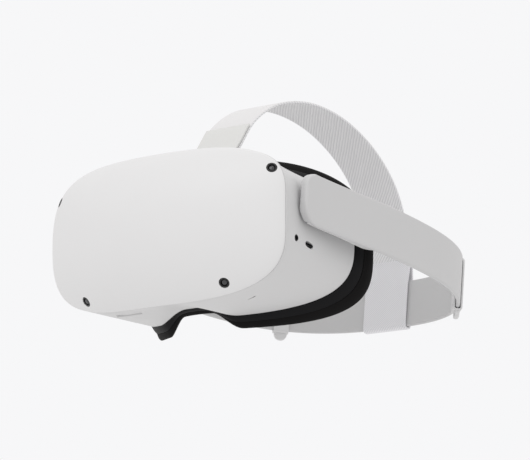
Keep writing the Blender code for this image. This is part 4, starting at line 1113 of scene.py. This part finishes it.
def make_arm(side, sign):
    start, stop = FRONT_V + END_LENGTH + 0.0026, ARM_STOP
    ends = 0.0012 * np.linspace(0, 1, 8) ** 2
    between_ends = np.linspace(start + 0.0012, stop - 0.0012, 70)[1:-1]
    v = np.concatenate([start + ends, between_ends, (stop - ends)[::-1]])
    outer = band_side(v) - BAND_THICK - 0.0004
    inner = ARM_INNER + 0.0012 * smoothstep(0.005, 0.030, v)
    inner = inner + (outer - 0.0012 - inner) * smoothstep(0.060, stop, v)
    half_wide = 0.0152 - 0.0035 * smoothstep(0.050, stop, v)
    drawn_in = quarter_round(np.minimum(v - start, stop - v), 0.0010)
    half_thick = np.maximum((outer - inner) / 2 - drawn_in * 0.5, 0.0001)
    path = np.stack([sign * (outer + inner) / 2, v, 0 * v], axis=1)
    arm = strip(side + "_arm_moulding", path, everywhere((float(sign), 0.0, 0.0), path), everywhere(UP, path),
                half_thick, half_wide - drawn_in, 0.0009, to_world=from_strap)
    hinge = round_cutter(from_strap((sign * 0.0935, 0, 0)), SIDEWAYS, POST_HOLE, 0.020)
    pocket = box_cutter(from_strap((sign * 0.0999, SPEAKER_V, 0)), (0.010, 0.0270, 0.0140), -STRAP_SLOPE)
    slots = [pill("cutter", from_strap((sign * 0.0940, SPEAKER_V, row * SLOT_STEP)), (0.003, 0.0060, 0.0006),
                  squareness=(30.0, 3.0), slope=-STRAP_SLOPE, around=48, rows=16) for row in (-1, 0, 1)]
    carve(arm, [hinge, pocket, *slots])
    finish_piece(arm, "strap", "white_shell", ARM_WHITE, side + "_arm")


for side, sign in (("left", 1), ("right", -1)):
    make_arm(side, sign)

# %% [markdown]
# ## Sliders
#
# Two loops let the wearer set the band's length. Each is a flat ring of plastic round the band, with a
# round finger tab below. The ring is a strip along a closed rounded rectangle in the plane across the
# band, and its place is the slider joint's: the joint's axis is the band's centre of curvature there.

# %% Sliders
SLIDER_ANGLE = math.radians(49.0)
SLIDER_ROOM, SLIDER_THICK, SLIDER_LONG = 0.0025, 0.0007, 0.0055      # half sizes of the ring and its wall
TAB_RADIUS, TAB_REACH, TAB_THICK = 0.0046, 0.0062, 0.0016


def slider_place():
    """Centre of curvature, outward direction and middle radius of the band at the slider's angle."""
    step = 0.02
    before, here, after = band_back(np.array([SLIDER_ANGLE - step, SLIDER_ANGLE, SLIDER_ANGLE + step]))
    a, b, c = (np.linalg.norm(p) for p in (before - here, after - here, before - after))
    first, second = here - before, after - before
    radius = a * b * c / (2 * abs(first[0] * second[1] - first[1] * second[0]))
    along = unit(after - before)
    outward = np.array([along[1], -along[0]])
    return here - outward * radius, outward, radius - BAND_THICK / 2


def make_slider(side, sign):
    centre, outward, middle = slider_place()
    outward3 = np.array([sign * outward[0], outward[1], 0.0])
    along3 = np.array([-sign * outward[1], outward[0], 0.0])
    here = np.array([sign * centre[0], centre[1], 0.0]) + middle * outward3
    half_w = BAND_TALL / 2 + 0.0012
    thick, wide = rounded_section(np.array([SLIDER_ROOM]), np.array([half_w]), np.array([0.0014]), 9, 12)
    loop = here + thick[0][:, None] * outward3 + wide[0][:, None] * np.array(UP)
    out = np.cross(loop_directions(loop), along3)
    ring_piece = strip(side + "_slider_loop", loop, out, everywhere(along3, loop), SLIDER_THICK, SLIDER_LONG,
                       0.0005, closed=True, to_world=from_strap)
    finish_piece(ring_piece, side + "_slider", "white_shell", ARM_WHITE, side + "_slider")
    down = np.linspace(0, 1, 40)[:, None] * np.array([0, 0, -TAB_REACH])
    tab_path = down + here + (0, 0, -half_w + 0.0004)
    reach = np.linspace(0, TAB_REACH, 40)
    drop = np.clip(reach - 0.0016, 0, TAB_RADIUS)
    half_wide = np.sqrt(np.maximum(TAB_RADIUS ** 2 - drop ** 2, 1e-10))
    half_thick = np.maximum(TAB_THICK - quarter_round(TAB_REACH - reach, 0.0014), 0.0001)
    tab = strip(side + "_slider_tab", tab_path, everywhere(outward3, tab_path), everywhere(along3, tab_path),
                half_thick, half_wide, 0.0008, to_world=from_strap)
    finish_piece(tab, side + "_slider", "white_shell", ARM_WHITE)


for side, sign in (("left", 1), ("right", -1)):
    make_slider(side, sign)

# %% [markdown]
# ## Top strap
#
# Elastic webbing comes up out of the slot on top of the housing, passes over the head and is sewn to the
# sleeve behind. Its middle line is a smooth curve through a few points, the rule being that each stretch is a
# cubic whose slope at a point is half the step between that point's neighbours. The strip is left on no body,
# where it is drawn.

# %% Top strap
STRAP_WIDE, STRAP_THICK = 0.0360, 0.0016
STRAP_KNOTS = ((0.0815, 0.0475), (0.096, 0.0650), (0.113, 0.0860), (0.140, 0.1020), (0.176, 0.1090),
               (0.214, 0.1050), (0.248, 0.0910), (0.273, 0.0700), (0.287, 0.0440), (0.2925, 0.0190))
STRAP_START, STRAP_SPLIT, STRAP_FREE = 0.012, 0.190, 0.62        # shares of the path


def strap_curve(shares):
    knots = np.array(STRAP_KNOTS)
    ends = np.vstack([2 * knots[0] - knots[1], knots, 2 * knots[-1] - knots[-2]])
    where = np.clip(np.asarray(shares) * (len(knots) - 1), 0, len(knots) - 1 - 1e-9)
    i, t = where.astype(int), (where % 1)[:, None]
    p0, p1, p2, p3 = (ends[i + k] for k in range(4))
    return 0.5 * (2 * p1 + (p2 - p0) * t + (2 * p0 - 5 * p1 + 4 * p2 - p3) * t ** 2
                  + (3 * p1 - p0 - 3 * p2 + p3) * t ** 3)


def webbing(name, first, last, rows, outward, thick):
    """A strip of webbing between two shares of the path, raised by outward from its middle line."""
    path = strap_curve(np.linspace(first, last, rows))
    along = unit(np.gradient(path, axis=0))
    normal = np.stack([0 * along[:, 0], -along[:, 1], along[:, 0]], axis=1)
    path = np.stack([0 * path[:, 0], path[:, 0], path[:, 1]], axis=1) + outward * normal
    return strip(name, path, normal, everywhere(SIDEWAYS, path), thick / 2, STRAP_WIDE / 2, 0.0005)


strap_length = walked(strap_curve(np.linspace(STRAP_START, 1.0, 400)))[-1]
top_webbing = webbing("top_strap_webbing", STRAP_START, 1.0, 260, 0, STRAP_THICK)


def flatten_outside(piece, material):
    """Gives a second finish to the faces on the outer side of the strap's middle line."""
    line = strap_curve(np.linspace(0, 1, 600))
    along = unit(np.gradient(line, axis=0))
    at = (face_vectors(piece, "center") - FACE_ORIGIN)[:, 1:]
    near = np.array([np.argmin(((line - point) ** 2).sum(axis=1)) for point in at])
    height = ((at - line[near]) * np.stack([-along[near, 1], along[near, 0]], axis=1)).sum(axis=1)
    piece.data.materials.append(material)
    piece.data.polygons.foreach_set("material_index", (height > 0.3 * STRAP_THICK).astype(np.int32))


top_webbing.data.materials.append(TWILL)
flatten_outside(top_webbing, FLAT_CLOTH)
finish_piece(top_webbing, None, "white_webbing", None, "top_strap_front", "top_strap")
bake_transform(top_webbing)
fold = webbing("top_strap_fold", 0.045, STRAP_SPLIT, 60, STRAP_THICK + GAP, STRAP_THICK)
finish_piece(fold, "headset", "white_webbing", LOOP_CLOTH, "top_strap_tab")
print("top strap length", round(float(strap_length), 3))

# %% [markdown]
# ## Rear sleeve
#
# The webbing ends in a sleeve that wraps round the band: two layers that meet above it. It is the same strip
# again, this time along a closed loop drawn in V and W round the band's section.

# %% Rear sleeve
def make_sleeve():
    middle, foot, thick, room = BACK_V - 0.0014, -BAND_TALL / 2 - 0.0004, 0.0013, 0.0024
    half, neck = room + thick / 2, 0.0016
    shoulder, neck_foot, neck_top = 0.0167, 0.0275, 0.0322
    rear = [(half, foot - thick / 2), (half, shoulder), (neck, neck_foot), (neck, neck_top)]
    corners = np.array([(middle + v, w) for v, w in rear] + [(middle - v, w) for v, w in rear[::-1]])
    rings = [corner[None, :] for corner in corners]
    radii = [0.0026, 0.0040, 0.0030, 0.0006, 0.0006, 0.0030, 0.0040, 0.0026]
    loop = rounded_rows(rings, radii, closed=True, steps=8)[:, 0]
    closed = np.vstack([loop, loop[:1]])
    length = walked(closed)
    loop = at_distances(closed, length, np.linspace(0, length[-1], 160, endpoint=False))
    path = np.stack([0 * loop[:, 0], loop[:, 0], loop[:, 1]], axis=1)
    across = everywhere(SIDEWAYS, path)
    out = np.cross(loop_directions(path), across)
    return strip("rear_sleeve_cloth", path, out, across, thick / 2, STRAP_WIDE / 2, 0.0004, closed=True,
                 to_world=from_strap)


sleeve = make_sleeve()
finish_piece(sleeve, "strap", "white_webbing", SLEEVE_CLOTH, "rear_sleeve")

# %% [markdown]
# ## Strap anchor
#
# A flat bar on top of the housing with a slot that the webbing goes through. It is a rod of round section
# bent into a long loop round the slot.

# %% Strap anchor
anchor_low, anchor_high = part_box("strap_anchor")


def make_anchor():
    middle = (np.array(anchor_low) + np.array(anchor_high)) / 2
    half = (np.array(anchor_high) - np.array(anchor_low)) / 2
    rod = 0.0014
    wide, deep = rounded_section(half[:1] - rod, half[1:2] - rod, np.array([0.0018]), 9, 9)
    path = np.stack([wide[0], deep[0], 0 * wide[0]], axis=1) + middle
    up = everywhere(UP, path)
    return strip("anchor_loop", path, np.cross(loop_directions(path), up), up, rod, half[2], 0.0012,
                 closed=True, to_world=np.asarray)


anchor = make_anchor()
finish_piece(anchor, "headset", "grey_shell", SHELL_GREY, "strap_anchor")

# %% [markdown]
# ## Finishes for the parts inside
#
# The frame's own solids are the right shape for what is inside: plates, rods, gear, board and battery. They
# stay as they are, and only get finishes.

# %% Inner parts
SCREWS = [f"{level}_{side}_frame_screw" for level in ("upper", "lower") for side in ("left", "right")]
INNER_FINISHES = {
    STEEL: ["upper_lens_rod", "lower_lens_rod", "gear_pin", "left_pivot_post", "right_pivot_post",
            "processor_shield", *SCREWS],
    MAGNESIUM: ["mid_frame"],
    COPPER: ["heat_spreader"],
    BOARD: ["main_board"],
    POUCH: ["battery"],
    BLACK: ["left_lens_barrel", "right_lens_barrel", "lens_gear", "fan_rotor", "blower_housing", "lens_panel",
            "left_speaker", "right_speaker"],
    DARK_GLASS: ["display_panel"],
}
for material, names in INNER_FINISHES.items():
    for name in names:
        node = frame["nodes"][name]
        node.data.materials.clear()
        node.data.materials.append(material)
print("inner parts finished:", sum(len(names) for names in INNER_FINISHES.values()))

# %% [markdown]
# ## Floor
#
# The floor is pale and plain. The camera stands below it, so its underside lets light and sight through:
# the floor only shows from above, and it doesn't shade the underside of the headset.

# %% Floor
def make_floor():
    half, below = 6.0, 0.0003
    corners = np.array([[(-half, -half, 0), (half, -half, 0)], [(-half, half, 0), (half, half, 0)]])
    floor = surface("studio_floor", corners - (0, 0, below), columns_closed=False)
    material = bpy.data.materials.new("floor_paper")
    material.use_nodes = True
    tree = material.node_tree
    shader, output = tree.nodes["Principled BSDF"], tree.nodes["Material Output"]
    shader.inputs["Base Color"].default_value = (0.80, 0.80, 0.81, 1)
    shader.inputs["Roughness"].default_value = 0.9
    facing = tree.nodes.new("ShaderNodeNewGeometry").outputs["Backfacing"]
    clear = tree.nodes.new("ShaderNodeBsdfTransparent").outputs[0]
    mix = add_node(tree, "ShaderNodeMixShader", i0=facing, i1=shader.outputs[0], i2=clear)
    tree.links.new(mix.outputs[0], output.inputs["Surface"])
    floor.data.materials.append(material)
    if floor.data.polygons[0].normal.z < 0:
        floor.data.flip_normals()
    floor.visible_shadow = floor.visible_diffuse = floor.visible_glossy = False


make_floor()

# %% [markdown]
# ## Lights
#
# A bright even surround fills the shadows, as a white tent would. One large soft light from the front gives
# the face its gentle fall-off, and a weaker one from above and behind lifts the straps.

# %% Lights
WORLD_SEEN, WORLD_LIGHT = (0.93, 0.93, 0.94), 0.92
LIT_POINT = np.array([0, -0.05, 0.07])         # near the middle of the headset


def make_world():
    world = bpy.data.worlds.new("studio")
    bpy.context.scene.world = world
    world.use_nodes = True
    tree = world.node_tree
    lit = tree.nodes["Background"]
    lit.inputs["Color"].default_value = (1.0, 0.99, 0.985, 1)
    lit.inputs["Strength"].default_value = WORLD_LIGHT
    seen = add_node(tree, "ShaderNodeBackground", Color=(*WORLD_SEEN, 1), Strength=1.0)
    camera_ray = tree.nodes.new("ShaderNodeLightPath").outputs["Is Camera Ray"]
    mix = add_node(tree, "ShaderNodeMixShader", i0=camera_ray, i1=lit.outputs[0], i2=seen.outputs[0])
    tree.links.new(mix.outputs[0], tree.nodes["World Output"].inputs["Surface"])


def area_light(name, azimuth, elevation, distance, size, power):
    """A square soft light at an angle round the headset, aimed at its middle."""
    a, e = math.radians(azimuth), math.radians(elevation)
    out = np.array([math.sin(a) * math.cos(e), -math.cos(a) * math.cos(e), math.sin(e)])
    data = bpy.data.lights.new(name, "AREA")
    data.size, data.energy = size, power
    light = bpy.data.objects.new(name, data)
    light.location = LIT_POINT + distance * out
    light.rotation_euler = (math.pi / 2 - e, 0, a)
    bpy.context.scene.collection.objects.link(light)


make_world()
area_light("key", 12, 38, 1.6, 1.2, 5.0)
area_light("top", 150, 70, 1.6, 1.4, 3.0)
bpy.context.scene.view_settings.view_transform = "Standard"
